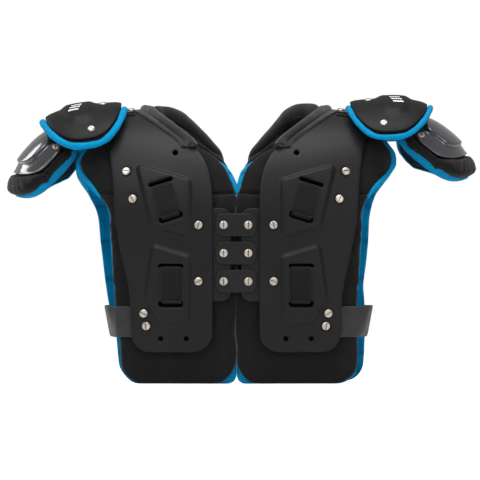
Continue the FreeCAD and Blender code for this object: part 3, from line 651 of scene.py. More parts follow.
def puff(data, pinned, voxel, pressure, cap, swell, share=None):
    """Inflates a soft piece as cloth on a remeshed copy and carries the movement back.

    pinned gives pin weights at points in mm, cap limits the movement in mm, and share scales it
    at each vertex of the fine mesh.
    """
    verts = data["verts"]
    mesh = bpy.data.meshes.new("sim")
    mesh.from_pydata((verts * MM).tolist(), [], [tuple(int(i) for i in f) for f in data["faces"]])
    obj = link(mesh, "sim_copy")
    remesh = obj.modifiers.new("remesh", "REMESH")
    remesh.mode = "VOXEL"
    remesh.voxel_size = voxel * MM
    graph = bpy.context.evaluated_depsgraph_get()
    rest = bpy.data.meshes.new_from_object(obj.evaluated_get(graph))
    obj.modifiers.clear()
    obj.data = rest
    count = len(rest.vertices)
    before = np.zeros(count * 3)
    rest.vertices.foreach_get("co", before)
    before = before.reshape(-1, 3)
    cloth = obj.modifiers.new("cloth", "CLOTH")
    settings = cloth.settings
    settings.quality = 6
    settings.mass = 0.25
    settings.tension_stiffness = settings.compression_stiffness = 18
    settings.shear_stiffness = 6
    settings.bending_stiffness = 0.6
    settings.use_pressure = True
    settings.uniform_pressure_force = pressure
    settings.effector_weights.gravity = 0
    settings.shrink_min = -swell
    weights = np.clip(pinned(before * 1000.0), 0, 1)
    group = obj.vertex_groups.new(name="pin")
    for i in np.where(weights > 0.02)[0]:
        group.add([int(i)], float(weights[i]), "REPLACE")
    settings.vertex_group_mass = "pin"
    cloth.point_cache.frame_start, cloth.point_cache.frame_end = 1, SIM_FRAMES
    scene = bpy.context.scene
    for i in range(1, SIM_FRAMES + 1):
        scene.frame_set(i)
    graph = bpy.context.evaluated_depsgraph_get()
    after = np.zeros(count * 3)
    obj.evaluated_get(graph).to_mesh().vertices.foreach_get("co", after)
    moved = (after.reshape(-1, 3) - before) * 1000.0
    obj.evaluated_get(graph).to_mesh_clear()
    moved[~np.isfinite(moved).all(1)] = 0
    size = np.linalg.norm(moved, axis=1, keepdims=True)
    moved = moved * np.minimum(1, cap / (size + 1e-9))
    nearest = KDTree(count)
    for i, point in enumerate(before):
        nearest.insert(point, i)
    nearest.balance()
    puffed = verts.copy()
    for i, point in enumerate(verts * MM):
        total, weight_sum = np.zeros(3), 0.0
        for _, j, distance in nearest.find_n(point, 7):
            weight = 1.0 / (distance * 1000 + 0.8) ** 2
            total += moved[j] * weight
            weight_sum += weight
        puffed[i] += total / weight_sum
    if share is not None:
        puffed = verts + (puffed - verts) * np.clip(share, 0, 1)[:, None]
    bpy.data.objects.remove(obj)
    scene.frame_set(1)
    return dict(data, verts=puffed)


def attach(obj, body, *nodes, slot=None):
    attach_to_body(obj, body)
    if nodes:
        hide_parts(*nodes)


# ------------------------------------------------------------------ finishes
class Nodes:
    """Short ways to add nodes to a material or world."""

    def __init__(self, tree):
        self.tree = tree

    def new(self, kind, **inputs):
        made = self.tree.nodes.new("ShaderNode" + kind)
        for name, value in inputs.items():
            made.inputs[name].default_value = value
        return made

    def feed(self, socket, value):
        if isinstance(value, bpy.types.NodeSocket):
            self.tree.links.new(value, socket)
        else:
            socket.default_value = value

    def surface(self, values):
        inputs = self.tree.nodes["Principled BSDF"].inputs
        for name, value in values.items():
            self.feed(inputs[name], value)

    def math(self, operation, *values):
        made = self.new("Math")
        made.operation = operation
        for socket, value in zip(made.inputs, values):
            self.feed(socket, value)
        return made.outputs[0]

    def times(self, first, second):
        return self.math("MULTIPLY", first, second)

    def plus(self, first, second):
        return self.math("ADD", first, second)

    def wave(self, value, rate):
        return self.math("SINE", self.times(value, rate))

    def coords(self, kind="Object"):
        return self.new("TexCoord").outputs[kind]

    def split(self, kind="Object"):
        made = self.new("SeparateXYZ")
        self.feed(made.inputs[0], self.coords(kind))
        return made.outputs

    def noise(self, vector, scale, detail=3.0, rough=0.55):
        made = self.new("TexNoise", Scale=scale, Detail=detail, Roughness=rough)
        self.feed(made.inputs["Vector"], vector)
        return made.outputs["Fac"]

    def ramp(self, factor, low, high):
        """Two-colour ramp from (position, colour) stops."""
        made = self.new("ValToRGB")
        for element, (position, colour) in zip(made.color_ramp.elements, (low, high)):
            element.position, element.color = position, (*colour, 1)
        self.feed(made.inputs["Fac"], factor)
        return made.outputs["Color"]

    def mix(self, factor, first, second):
        made = self.new("Mix")
        made.data_type = "RGBA"
        for socket, value in ((0, factor), (6, first), (7, second)):
            self.feed(made.inputs[socket], value)
        return made.outputs[2]

    def bump(self, height, distance, strength, normal=None):
        """distance in metres."""
        made = self.new("Bump", Strength=strength, Distance=distance)
        self.feed(made.inputs["Height"], height)
        if normal is not None:
            self.feed(made.inputs["Normal"], normal)
        return made.outputs["Normal"]


def new_material(name):
    mat = bpy.data.materials.new(name)
    mat.use_nodes = True
    return mat, Nodes(mat.node_tree)


def srgb(code):
    parts = [int(code[i:i + 2], 16) / 255 for i in (1, 3, 5)]
    return tuple(v / 12.92 if v <= 0.04045 else ((v + 0.055) / 1.055) ** 2.4 for v in parts)


def printed_bars(nodes, colour):
    """Three short slanted pale bars printed on the dome, placed in cm of the unwrapping."""
    pitch, duty, slant = 0.85, 0.15, 0.25
    centre_x, half_x, centre_y, half_y = 18.9, 0.62, -3.3, 1.27
    x, y, _ = nodes.split("UV")
    lean = nodes.plus(x, nodes.times(y, slant))
    bars = nodes.math("GREATER_THAN", nodes.wave(y, 2 * math.pi / pitch), duty)
    off_y = nodes.math("ABSOLUTE", nodes.plus(y, -centre_y))
    in_y = nodes.math("LESS_THAN", off_y, half_y)
    off_x = nodes.math("ABSOLUTE", nodes.math("SUBTRACT", lean, centre_x))
    in_x = nodes.math("LESS_THAN", off_x, half_x)
    mask = nodes.times(nodes.times(bars, in_y), in_x)
    return nodes.mix(mask, colour, (0.75, 0.75, 0.74, 1))


def plastic(name, dark, light, rough, grain=0.10, coat=0.0, spec=0.5, stripes=False):
    """Clouded colour, with a fine and a middling grain in the relief."""
    mat, nodes = new_material(name)
    where = nodes.coords()
    clouds = nodes.noise(where, scale=14.0, detail=4)
    fine = nodes.noise(where, scale=1700.0, detail=2, rough=0.7)
    middling = nodes.noise(where, scale=420.0, detail=2)
    colour = nodes.ramp(clouds, (0.3, srgb(dark)), (0.75, srgb(light)))
    if stripes:
        colour = printed_bars(nodes, colour)
    normal = nodes.bump(fine, distance=0.00012, strength=grain * 4)
    normal = nodes.bump(middling, distance=0.00020, strength=grain * 1.5, normal=normal)
    nodes.surface({
        "Base Color": colour, "Normal": normal,
        "Roughness": nodes.math("MULTIPLY_ADD", middling, 0.10, rough - 0.05),  # +-0.05
        "Specular IOR Level": spec, "Coat Weight": coat, "Coat Roughness": 0.12})
    return mat


def weave(nodes, pitch):
    """Woven height from object coordinates, so it needs no unwrapping; pitch in mm."""
    x, y, z = (nodes.wave(axis, 2 * math.pi / (pitch * MM)) for axis in nodes.split())
    pairs = nodes.plus(nodes.times(x, z), nodes.times(y, x))
    return nodes.plus(pairs, nodes.times(y, z))


def uv_phases(nodes, pitch_u, pitch_v):
    """Phases along the unwrapping, pitches in mm."""
    x, y, _ = nodes.split("UV")
    return (nodes.times(x, 2 * math.pi * 10 / pitch_u),
            nodes.times(y, 2 * math.pi * 10 / pitch_v))


def ribs(nodes, pitch_u, pitch_v):
    """Ribs across the width, crossed by shallower threads."""
    across, along = uv_phases(nodes, pitch_u, pitch_v)
    rib = nodes.math("ABSOLUTE", nodes.wave(across, 0.5))
    return nodes.plus(rib, nodes.times(nodes.math("SINE", along), 0.35))


def zigzag(nodes, pitch_u, pitch_v):
    across, along = uv_phases(nodes, pitch_u, pitch_v)
    return nodes.math("SINE", nodes.plus(along, nodes.math("PINGPONG", across, 2 * math.pi)))


def quilt_lines(nodes, colour, dark):
    """Colours the sewn lines of the quilting: painted shade in a soft groove, with a row of darker
    thread in it.
    """
    x, y, _ = nodes.split("UV")
    across, along = nodes.times(x, 10.0), nodes.times(y, 10.0)
    gaps = [nodes.math("PINGPONG", nodes.plus(value, shift), cell / 2)
            for value, cell, shift in ((along, QUILT_ROW, 0.0), (across, QUILT_COL, QUILT_SHIFT))]
    gap = nodes.math("MINIMUM", *gaps)
    groove_half, thread_half = 6.0, 0.55  # mm
    # painted shade: the colour darkens within groove_half mm of a sewn line; the thread row inside
    # is its own dark colour
    reach = nodes.math("SMOOTH_MIN", nodes.times(gap, 1 / groove_half), 1.0, 0.3)
    soft = nodes.math("MULTIPLY_ADD", reach, 0.34, 0.66)
    beyond = nodes.math("GREATER_THAN", gap, thread_half)
    line = nodes.math("MULTIPLY_ADD", beyond, 0.42, 0.58)
    shade = (*[c * 0.22 for c in srgb(dark)], 1)
    return nodes.mix(nodes.times(soft, line), shade, colour)


def fabric(name, dark, light, height, depth, rough=0.85, sheen=0.25, fold=0.0, spec=0.25,
           quilted=False):
    """height is a weave function and its pitches, depth its relief in mm, fold the creasing."""
    mat, nodes = new_material(name)
    where = nodes.coords()
    threads = height[0](nodes, *height[1:])
    clouds = nodes.noise(where, scale=38.0, detail=4)
    # colour mostly from the clouds, a little from the threads
    blend = nodes.plus(nodes.times(clouds, 0.8), nodes.times(threads, 0.16))
    colour = nodes.ramp(blend, (0.22, srgb(dark)), (0.72, srgb(light)))
    if quilted:
        colour = quilt_lines(nodes, colour, dark)
    normal = nodes.bump(threads, distance=depth * MM, strength=0.8)
    fuzz = nodes.noise(where, scale=900.0)
    normal = nodes.bump(fuzz, distance=0.00015, strength=0.4, normal=normal)
    if fold:
        creases = nodes.noise(where, scale=55.0)
        normal = nodes.bump(creases, distance=0.0012, strength=fold, normal=normal)
    nodes.surface({"Base Color": colour, "Roughness": rough, "Specular IOR Level": spec,
                   "Sheen Weight": sheen, "Sheen Roughness": 0.4, "Normal": normal})
    return mat


def metal(name):
    """Worn nickel, with painted shade: the colour turns dark brown in slots and corners that
    ambient occlusion finds.
    """
    mat, nodes = new_material(name)
    where = nodes.coords()
    # painted shade: ambient occlusion mixes dark brown into the colour in the slots and corners
    occlusion = nodes.new("AmbientOcclusion", Distance=0.0016)
    occlusion.samples = 8
    open_to_light = nodes.math("POWER", occlusion.outputs["AO"], 2.2)
    mottle = nodes.noise(where, scale=260.0, detail=4)
    bright = nodes.ramp(mottle, (0.3, srgb("#b9aea1")), (0.7, srgb("#d6cec3")))
    smudge = nodes.noise(where, scale=700.0)
    pits = nodes.noise(where, scale=900.0, detail=2)
    nodes.surface({
        "Base Color": nodes.mix(open_to_light, (*srgb("#4a3527"), 1), bright),
        "Metallic": 0.6,
        "Roughness": nodes.math("MULTIPLY_ADD", smudge, 0.2, 0.24),  # 0.24 to 0.44
        "Normal": nodes.bump(pits, distance=0.00008, strength=0.4)})
    return mat


SHELL = plastic("shell_plastic", "#111112", "#171718", rough=0.52, spec=0.23)
CAP = plastic("cap_plastic", "#0f0f10", "#151516", rough=0.52, spec=0.16, stripes=True)
GLOSS = plastic("cup_plastic", "#26272b", "#303137", rough=0.16, grain=0.02, coat=1.0, spec=0.7)
STRIP = plastic("strip_plastic", "#151516", "#1c1c1d", rough=0.46, grain=0.08, spec=0.25)
TAB = plastic("tab_plastic", "#121213", "#18181a", rough=0.52, grain=0.08, spec=0.24)
# the mount plate's lighter grey is painted highlight: it stands in for the overhead light's
# reflection on its top
MOUNT = plastic("mount_plastic", "#303031", "#3c3c3c", rough=0.34, grain=0.05)
HOOK = plastic("hook_plastic", "#171718", "#202021", rough=0.4, grain=0.08)
PAD = fabric("pad_fabric", "#060606", "#0f0f10", (weave, 1.1), depth=0.12, sheen=0.14, fold=0.3)
COLLAR = fabric("collar_fabric", "#1c1c1d", "#2c2c2d", (weave, 0.9), depth=0.06, fold=0.15)
ROLL = fabric("roll_fabric", "#151515", "#333332", (ribs, 1.0, 1.3), depth=0.26, sheen=0.4)
WEB = fabric("webbing", "#060606", "#0f0f0f", (zigzag, 2.2, 1.5), depth=0.20, rough=0.7,
             sheen=0.12, spec=0.2)
ELASTIC = fabric("elastic", "#1b1b1c", "#363637", (ribs, 1.5, 0.9), depth=0.24, rough=0.7,
                 spec=0.35)
BLUE = fabric("blue_lining", "#037fae", "#05a2da", (weave, 1.7), depth=0.16, sheen=0.04,
              spec=0.08, quilted=True)
TRIM = fabric("blue_trim", "#0180b0", "#0296cc", (weave, 0.8), depth=0.06, rough=0.86,
              sheen=0.03, fold=0.35, spec=0.08)
LACE = fabric("lace", "#141414", "#2a2a2a", (zigzag, 2.4, 1.6), depth=0.2)
THREAD = fabric("thread", "#0c0c0c", "#1e1e1e", (weave, 0.5), depth=0.05)
THREAD_BLUE = fabric("blue_thread", "#04629a", "#0a80b8", (weave, 0.5), depth=0.05)
NICKEL = metal("nickel")

# ------------------------------------------------------------------ arch shells
PANEL_LOOPS = [onto_arch(rounded(corners), face) for face in (-1, 1) for corners in PANELS]
SCREW_SPOTS = [(x, float(along_at(x, z, face))) for x, z, face in SHELL_SCREWS]
FINE_RINGS = (0.15, 0.45, 1.0)


def shell_outline():
    back, front, corner = -(S_END - 38.7), S_END - 52.0, 24
    body = np.linspace(back + 56, front - 56, 240)
    points = [(28.4, back, corner)]
    points += [(float(shell_in(q)), q, 0) for q in body]
    points += [(22.0, front, corner), (127.5, front, corner)]
    points += [(float(shell_out(abs(q))), q, 0) for q in body[::-1]]
    return rounded(points + [(127.35, back, corner)])


def slot_loop(x, z, lean, shift, width, face):
    """Round-ended slot for a webbing loop, shifted up the leaning strap from (x, z)."""
    cos, sin = math.cos(math.radians(lean)), math.sin(math.radians(lean))
    straight, radius = SLOT_LENGTH / 2 - width / 2, width / 2
    turn = np.linspace(0, math.pi, 12)
    points = [(straight + radius * math.sin(q), radius * math.cos(q)) for q in turn]
    points += [(-straight - radius * math.sin(q), -radius * math.cos(q)) for q in turn]
    return onto_arch(np.array([(x + u * cos + (shift + v) * sin, z - u * sin + (shift + v) * cos)
                               for u, v in points]), face)


def shell_top(flat):
    """Outer face: raised panels, and shallow seats round the screws."""
    rise = np.zeros(len(flat))
    for loop in PANEL_LOOPS:
        t = np.clip((depth_in(flat, loop) + 1.2) / 5.6, 0, 1)
        rise = np.maximum(rise, PANEL_RISE * (0.45 * t + 0.55 * t * t * (3 - 2 * t)))
    for across, along in SCREW_SPOTS:
        distance = np.hypot(flat[:, 0] - across, flat[:, 1] - along)
        rise -= 0.75 * (1 - ease(distance, 5.7, 7.0))
    return SHELL_T + rise


def shell_holes():
    holes = []
    for face in (-1, 1):
        for x, z, lean, half, upper, lower in LOOPS:
            holes.append(slot_loop(x, z, lean, half, upper, face))
            holes.append(slot_loop(x, z, lean, -half, lower, face))
    for x, z in ((74.0, 281.0), (60.5, 55.3), (91.5, 55.3)):
        holes.append(onto_arch(circle(x, z, 3, 24), -1))
    # long upright slot low on the front
    in_x, out_x, low, high = 111.4, 116.6, S_END - 55, S_END - 97
    holes.append(np.array([(in_x, low), (out_x, low), (out_x, high), (in_x, high)]))
    for z in EYELET_Z:
        holes.append(circle(EYELET_X, float(along_at(EYELET_X, z, 1)), 3.7))
    return holes


extra = []
for loop in PANEL_LOOPS:
    extra += insets(resample(loop, 1.6), (-2.2, -1.2, -0.4, 0.5, 1.4, 2.3, 3.2, 4.1, 5.2))
for across, along in SCREW_SPOTS:
    extra += [circle(across, along, r, 22) for r in (3.0, 4.6, 5.6, 6.1, 6.6, 7.1)]
shell_data = patch(shell_outline(), shell_top, 0.0, arch_map, spacing=3.6, rim=1.1,
                   rings=FINE_RINGS, edge_step=2.2, holes=shell_holes(), extra=np.vstack(extra))
for side, hand in SIDES:
    attach(emit(hand + "_shell", shell_data, [SHELL], side),
           hand + "_half", hand + "_arch_shell", slot="shell_plastic")

# ------------------------------------------------------------------ back tabs, connector strips
tab_loop = rounded([(6.2, 100.7, 12), (60, 100.7, 12), (60, 215, 12), (6.2, 215, 12)])
tab_data = patch(onto_arch(tab_loop, -1), -0.3, -2.8, arch_map, spacing=5, rim=0.9)
for side, hand in SIDES:
    attach(emit(hand + "_tab", tab_data, [TAB], side),
           hand + "_half", hand + "_back_tab", slot="strip_plastic")

STRIP_HALF, STRIP_DOWN, STRIP_UP, STRIP_WAIST = 24.7, 14.2, 14.4, 2.4
for level, z in STRIP_Z.items():
    loop = rounded([(-STRIP_HALF, z - STRIP_DOWN, 9), (STRIP_HALF, z - STRIP_DOWN, 9),
                    (STRIP_HALF, z + STRIP_UP, 9), (-STRIP_HALF, z + STRIP_UP, 9)])
    waist = STRIP_WAIST * (1 - np.clip(np.abs(loop[:, 0]) / 17.0, 0, 1) ** 2)
    loop[:, 1] -= np.sign(loop[:, 1] - z) * waist * (np.abs(loop[:, 1] - z) > 11)
    strip_data = patch(onto_arch(loop, -1), 2.5, -0.1, arch_map, spacing=3.0, rim=1.0)
    strip = emit("strip_" + level, strip_data, [STRIP])
    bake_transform(strip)
    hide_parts("connector_strip_" + level)

# ------------------------------------------------------------------ epaulet mount plates
mount_loop = rounded([(124.6, -27, 4), (145, -27, 4), (145, 27, 4), (124.6, 27, 4)])
mount_data = patch(mount_loop, 6.95, 4.75, arch_map, spacing=2.5, rim=1.0)
for side, hand in SIDES:
    attach(emit(hand + "_mount", mount_data, [MOUNT], side),
           hand + "_half", hand + "_epaulet_mount", slot="shell_plastic")

# ------------------------------------------------------------------ liner: cover and lining
SEAM = 170.0
GROOVES_BACK = [-(S_END - 183.0), -(S_END - 118.0)]
GROOVES_FRONT = [S_END - 190.0, S_END - 126.0]
GROOVES = GROOVES_BACK + GROOVES_FRONT
# Pieces: far end and near end along the arch, inner and outer radius of the bottom corners,
# sewn grooves, how far the cover's neck edge moves inwards, and the least x it may reach.
LINER = {
    "back_pad": (-(S_END - 0.3), -(SEAM + 0.1), 30.0, 27.0, GROOVES_BACK, 1.2, -0.04),
    "shoulder_pad": (SEAM - 0.1, -(SEAM - 0.1), 0.0, 0.0, [], 0.3, 0.12),
    "front_pad": (S_END - 0.3, SEAM + 0.1, 24.0, 29.0, GROOVES_FRONT, 2.4, 0.12),
}
# how far the lining shows beyond the pad's outer edge at the front, by z
flare = curve([0, 57, 95, 130, 160, 207, 235, 255, 340], [1.5, 2.5, 6.5, 8.5, 9.5, 10.5, 9, 2, 2])
# Sideways move of the flanks by z, keyed by (side, 1 for front or -1 for back).
FLANK = {
    (-1, 1): curve([-5, 0, 60, 95, 130, 195, 212, 232, 255, 268, 281, 292, 302, 311, 330],
                   [-5, -5, -3, -1, 0, 2, 4, 11, 16, 16, 12, 5, 0, 0, 0]),
    (-1, -1): curve([-5, 0, 60, 100, 190, 212, 232, 255, 268, 281, 292, 302, 311, 330],
                    [-4, -4, -2, 0, 0, 1, 7, 12, 13, 9, 3, 0, 0, 0]),
    (1, 1): curve(
        [-5, 0, 60, 95, 125, 150, 195, 215, 235, 255, 270, 282, 293, 303, 312, 330],
        [8, 8, 8, 1, -4, -3, -3, -2, 2, 9, 15, 15, 11, 5, 0, 0]),
    (1, -1): curve([-5, 0, 40, 70, 100, 195, 215, 235, 255, 270, 282, 293, 303, 312, 330],
                   [4, 4, 5, 3, 0, 0, 0, 2, 8, 12, 12, 8, 4, 0, 0]),
}


def flank(obj, side):
    """Moves the outer edge of a liner piece sideways; the soft flanks don't hang alike."""
    mesh = obj.data
    verts = np.zeros(len(mesh.vertices) * 3)
    mesh.vertices.foreach_get("co", verts)
    verts = verts.reshape(-1, 3)
    x, y, z = (verts / MM - SHIFT).T
    x = side * x
    front = ease(y, -40, 40)
    move = FLANK[(side, 1)](z) * front + FLANK[(side, -1)](z) * (1 - front)
    verts[:, 0] += side * move * ease(x, 96, 142) * MM
    # the two back halves meet on a line that wanders a little
    wander = 0.9 * np.sin(z / 17.0) + 0.5 * np.sin(z / 6.3 + 1.0)
    verts[:, 0] += wander * (1 - ease(x, 1, 16)) * (1 - ease(y, -60, -20)) * MM
    mesh.vertices.foreach_set("co", verts.ravel())
    mesh.update()
    return obj


def pad_loop(far, near, grow_in, r_in, r_out, limit, neck, lining=False):
    """Outline of a liner piece, with rounded bottom corners at its far end."""
    def inner(q):
        back = float(ease(-q, 104, 128) * (1 - 0.75 * ease(-q, 158, 180))
                     * (1 - ease(-q, 196, 216)))
        return max(limit, float(pad_in(q)) - grow_in + neck * back)

    def outer(q):
        if lining:
            grow = float(flare(float(arch_raw(150.0, q)[..., 2]))) if q > 0 else 2.2
            return float(pad_out(q)) + grow
        return float(pad_out(q)) - sum(1.2 * math.exp(-((q - g) / 3.0) ** 2) for g in GROOVES)

    if not (r_in or r_out):
        run = np.linspace(far, near, 150)
        return rounded([(inner(q), q, 0) for q in run] + [(outer(q), q, 0) for q in run[::-1]],
                       2.0)
    toward = 1 if near > far else -1
    start_in, start_out = (far + toward * max(2 * r + 2, 4) for r in (r_in, r_out))
    inner_edge = [(inner(q), q, 0) for q in np.linspace(start_in, near, 90)]
    outer_edge = [(outer(q), q, 0) for q in np.linspace(near, start_out, 140)]
    return rounded([(inner(far), far, r_in)] + inner_edge + outer_edge
                   + [(outer(far), far, r_out)], 2.0)


def cover_top(flat, grooves):
    across, along = flat[:, 0], flat[:, 1]
    ripple = 0.7 * np.sin(across / 9.0 + 1.3 * np.sin(along / 21.0)) * np.sin(along / 13.0)
    sunk = sum(1.6 * np.exp(-((along - g) / 2.4) ** 2) for g in grooves)
    return -5.6 - sunk + ripple * 0.6


def lining_low(flat):
    """Underside of the lining, quilted in cells."""
    row = np.abs(np.sin(flat[:, 1] * math.pi / QUILT_ROW)) ** 0.6
    col = np.abs(np.sin((flat[:, 0] + QUILT_SHIFT) * math.pi / QUILT_COL)) ** 0.6
    return -15.6 - 2.2 * np.minimum(row, col)


def seam_pin(points):
    """Pins a liner piece close to its seams and its sewn grooves."""
    along = along_at(np.abs(points[:, 0]), points[:, 2], 1) * np.sign(points[:, 1])
    pin = np.zeros(len(points))
    for line in GROOVES + [-SEAM, SEAM]:
        pin = np.maximum(pin, np.exp(-((along - line) / 5.0) ** 2))
    return pin


def swell_share(flat):
    """How far each point of a cover follows the swelling, from its depth inside the edges."""
    across, along = flat[:, 0], flat[:, 1]
    from_out, from_in = pad_out(along) - across, across - pad_in(along)
    return np.maximum(ease(-from_out, -26, -16), ease(-from_in, -26, -16)) * 0.9 + 0.1


def lining_mat(piece):
    """0 is the mesh, 1 the dark collar facing around the neck."""
    front_end = 132 if piece == "shoulder_pad" else 100

    def slots(flat):
        if piece == "back_pad":
            return np.zeros(len(flat), int)
        neck = (flat[:, 0] - pad_in(flat[:, 1])) < 46
        return (neck & (flat[:, 1] > -112) & (flat[:, 1] < front_end)).astype(int)
    return slots


def rim_stitch_line(loop):
    """Row 6.5 mm inside a cover's outline, open where it crosses the seam."""
    line = insets(resample(loop, 1.5), [6.5])[0]
    line = line[np.abs(np.abs(line[:, 1]) - SEAM) > 9]
    widest = int(np.argmax(np.linalg.norm(np.diff(line, axis=0), axis=1)))
    return relax(np.roll(line, -(widest + 1), axis=0), 4)


for piece, (far, near, r_in, r_out, grooves, grow_in, limit) in LINER.items():
    loop = pad_loop(far, near, grow_in, r_in, r_out, limit, neck=2.6)
    cover = patch(loop, lambda flat: cover_top(flat, grooves), -14.6, arch_map, spacing=4.5,
                  rim=5.0, rings=(0.06, 0.2, 0.42, 0.7, 1.0), edge_step=3.0)
    cover = puff(cover, seam_pin, voxel=5.5, pressure=4.0, cap=1.6, swell=0.04,
                 share=swell_share(cover["flat"]))
    # the lining laps the seams of its neighbours
    lap_far, lap_near = (0.0, 1.2) if r_in else (0.8, 0.8)
    lining_loop = pad_loop(far + math.copysign(lap_far, far), near - math.copysign(lap_near, far),
                           1.8, r_in * 0.36, r_out * 0.9, limit=0.02, neck=-2.6, lining=True)
    lining = patch(lining_loop, -13.6, lining_low, arch_map, spacing=4.5, rim=2.4,
                   rings=(0.15, 0.5, 1.0), edge_step=3.0, mat_fn=lining_mat(piece))
    for side, hand in SIDES:
        name = f"{hand}_{piece}"
        attach(flank(emit(name + "_cover", cover, [PAD], side), side),
               hand + "_half", name, slot="pad_fabric")
        attach(flank(emit(name + "_lining", lining, [BLUE, COLLAR], side), side),
               hand + "_half", slot="pad_fabric")
    if r_in:
        line = rim_stitch_line(loop)
        path = arch_map(line, cover_top(line, grooves) - 0.1)
        normals = arch_normal(line[:, 0], line[:, 1])
        for side, hand in SIDES:
            row = stitches(f"{hand}_{piece}_edge_stitch", path, normals, THREAD, pitch=3.4,
                           length=2.2, radius=0.3, side=side)
            attach(flank(row, side), hand + "_half")
    for groove in grooves:
        across = np.arange(pad_in(groove) + 8, pad_out(groove) - 5, 1.5)
        path, normals = arch(across, groove, -7.1), arch_normal(across, groove)
        for side, hand in SIDES:
            row = stitches(f"{hand}_{piece}_stitch_{int(abs(groove))}", path, normals, THREAD,
                           side=side)
            attach(flank(row, side), hand + "_half")

# blue binding round the arm opening
along = np.linspace(-(SEAM + 4), SEAM + 4, 130)
path, up = arch(pad_out(along) + 1.0, along, -11.4), arch_normal(pad_out(along), along)


def binding_radius(t):
    return 1 - 0.35 * (np.exp(-(t / 0.02) ** 2) + np.exp(-((1 - t) / 0.02) ** 2))


for side, hand in SIDES:
    binding = tube(hand + "_arm_binding", path, TRIM, radius=8.2, radius_across=3.4, up=up,
                   sides=18, power=2.6, side=side, radius_fn=binding_radius)
    attach(flank(binding, side), hand + "_half", slot="pad_fabric")

# padded collar edge along the front of the neck: x moves and lift by mm along the arch
along = np.linspace(-4, 158, 110)
BEAD_ALONG = [-4, 15, 30, 45, 60, 80, 100, 115, 130, 158]
BEAD_MOVE = {-1: [1, -1.5, -2.5, -3.0, -0.5, 0.6, 1.8, 4, 6, 8],
             1: [1, -4, -8, -8, -4.5, -1.6, 0.4, 3, 6, 8]}
bead_lift = curve([-4, 15, 30, 60, 90, 120, 158], [-1, 2.5, 4.0, 3.0, 0, -4, -8])(along)
bead_up = arch_normal(pad_in(along), along)


def bead_radius(t):
    return (0.35 + 0.65 * ease(t, 0, 0.12)) * (1 - 0.62 * ease(t, 0.55, 0.9))


for side, hand in SIDES:
    hump = 4.0 * np.exp(-((along - 32) / 28.0) ** 2) if side > 0 else 0.0
    across = pad_in(along) + curve(BEAD_ALONG, BEAD_MOVE[side])(along)
    bead = tube(hand + "_collar_edge", arch(across, along, bead_lift + hump), COLLAR,
                radius=8.6, radius_across=6.6, up=bead_up, sides=26, side=side,
                radius_fn=bead_radius)
    attach(bead, hand + "_half", slot="pad_fabric")

# ------------------------------------------------------------------ neck rolls
ROLL_INSET = 3.0  # overlap onto the opening beyond the shell's neck edge


def roll_section(s):
    """Closed section: over the tube, the sewn groove, the hem, and back underneath."""
    turn = np.linspace(0, math.pi, 26)
    over = 6.1 - 6.3 * np.cos(turn)
    dome = np.sin(turn) ** 0.72
    crease = (0.28 * np.sin(s / 2.3 + 2.0 * math.sin(s / 17.0) + over * 0.25)
              * math.sin(s / 9.0 + 1))
    wave = 0.35 * math.sin(s / 7.5) + 0.2 * math.sin(s / 3.1)
    turn = np.linspace(0, math.pi, 14)
    hem = 16.9 + wave * 0.5 - (3.8 - wave * 0.3) * np.cos(turn)
    width = np.concatenate([over, hem, [19.6, 15.0, 10.0, 5.0, 3.1, 2.9, 2.4, 1.2, 0.1]])
    lift = np.concatenate([3.5 + 7.3 * dome + crease * dome, 3.45 + 2.4 * np.sin(turn) ** 0.45,
                           [3.15, 3.15, 3.15, 3.15, 3.15, 1.0, -2.2, -2.6, -1.0]])
    points = arch(float(shell_in(s)) - ROLL_INSET + width, s, lift)
    return points, np.stack([width, np.full(len(width), s)], -1)


sections, params = zip(*(roll_section(s) for s in np.linspace(-108.0, 104.0, 286)))
roll_data = loft(np.array(sections), np.array(params) * UV_SCALE)
roll_data = puff(roll_data, lambda points: np.zeros(len(points)), voxel=3.0, pressure=2.0,
                 cap=0.6, swell=0.05)
along = np.linspace(-106, 102, 306)
across = shell_in(along) - ROLL_INSET + (14.5 + 0.2 * np.sin(along / 7.5))
path, normals = arch(across, along, 5.65), arch_normal(across, along)
for side, hand in SIDES:
    attach(emit(hand + "_neck_roll_cover", roll_data, [ROLL], side),
           hand + "_half", hand + "_neck_roll", slot="roll_fabric")
    attach(stitches(hand + "_neck_roll_stitch", path, normals, THREAD, pitch=3.4, length=2.3,
                    radius=0.42, side=side), hand + "_half")


# ------------------------------------------------------------------ webbing on the panels
def web_strap(x, z, lean, half, face):
    """Strap that comes out of one slot, runs over the panel and goes into the other."""
    along = along_at(x, z, face)
    centre, normal = arch_raw(x, along), arch_normal(x, along)
    up = np.array([math.sin(math.radians(lean)), 0, math.cos(math.radians(lean))])
    up = unit(up - normal * (up @ normal))
    top, low = half - 1.3, -half + (2.9 if z > 200 else 3.2)
    # (up the strap, out of the shell's inner face)
    profile = [(top, -3.2), (top, 0.5), (top - 0.1, 4.5), (top - 0.4, 6.9), (top - 1.3, 8.1),
               (top - 3.2, 8.6)]
    profile += [(t, 8.75 + 0.35 * math.cos(t / half * 1.4))
                for t in np.linspace(top - 6, low + 6, 12)]
    profile += [(low + 3.2, 8.5), (low + 1.3, 7.9), (low + 0.3, 6.4), (low - 0.3, 4.2),
                (low - 1.6, 0.5), (low - 3.0, -3.2)]
    line = resample(profile, 1.2, closed=False)
    tangent = unit(np.gradient(line, axis=0))
    out = np.stack([tangent[:, 1], -tangent[:, 0]], -1)
    out = out * np.where(out[:, 1:] + out[:, :1] * np.sign(line[:, :1]) < 0, -1, 1)
    middle = centre + line[:, :1] * up + line[:, 1:] * normal
    across = np.linspace(-12.7, 12.7, 15)[None, :, None] * np.cross(up, normal)
    return middle[:, None, :] + across, out[:, :1] * up + out[:, 1:] * normal


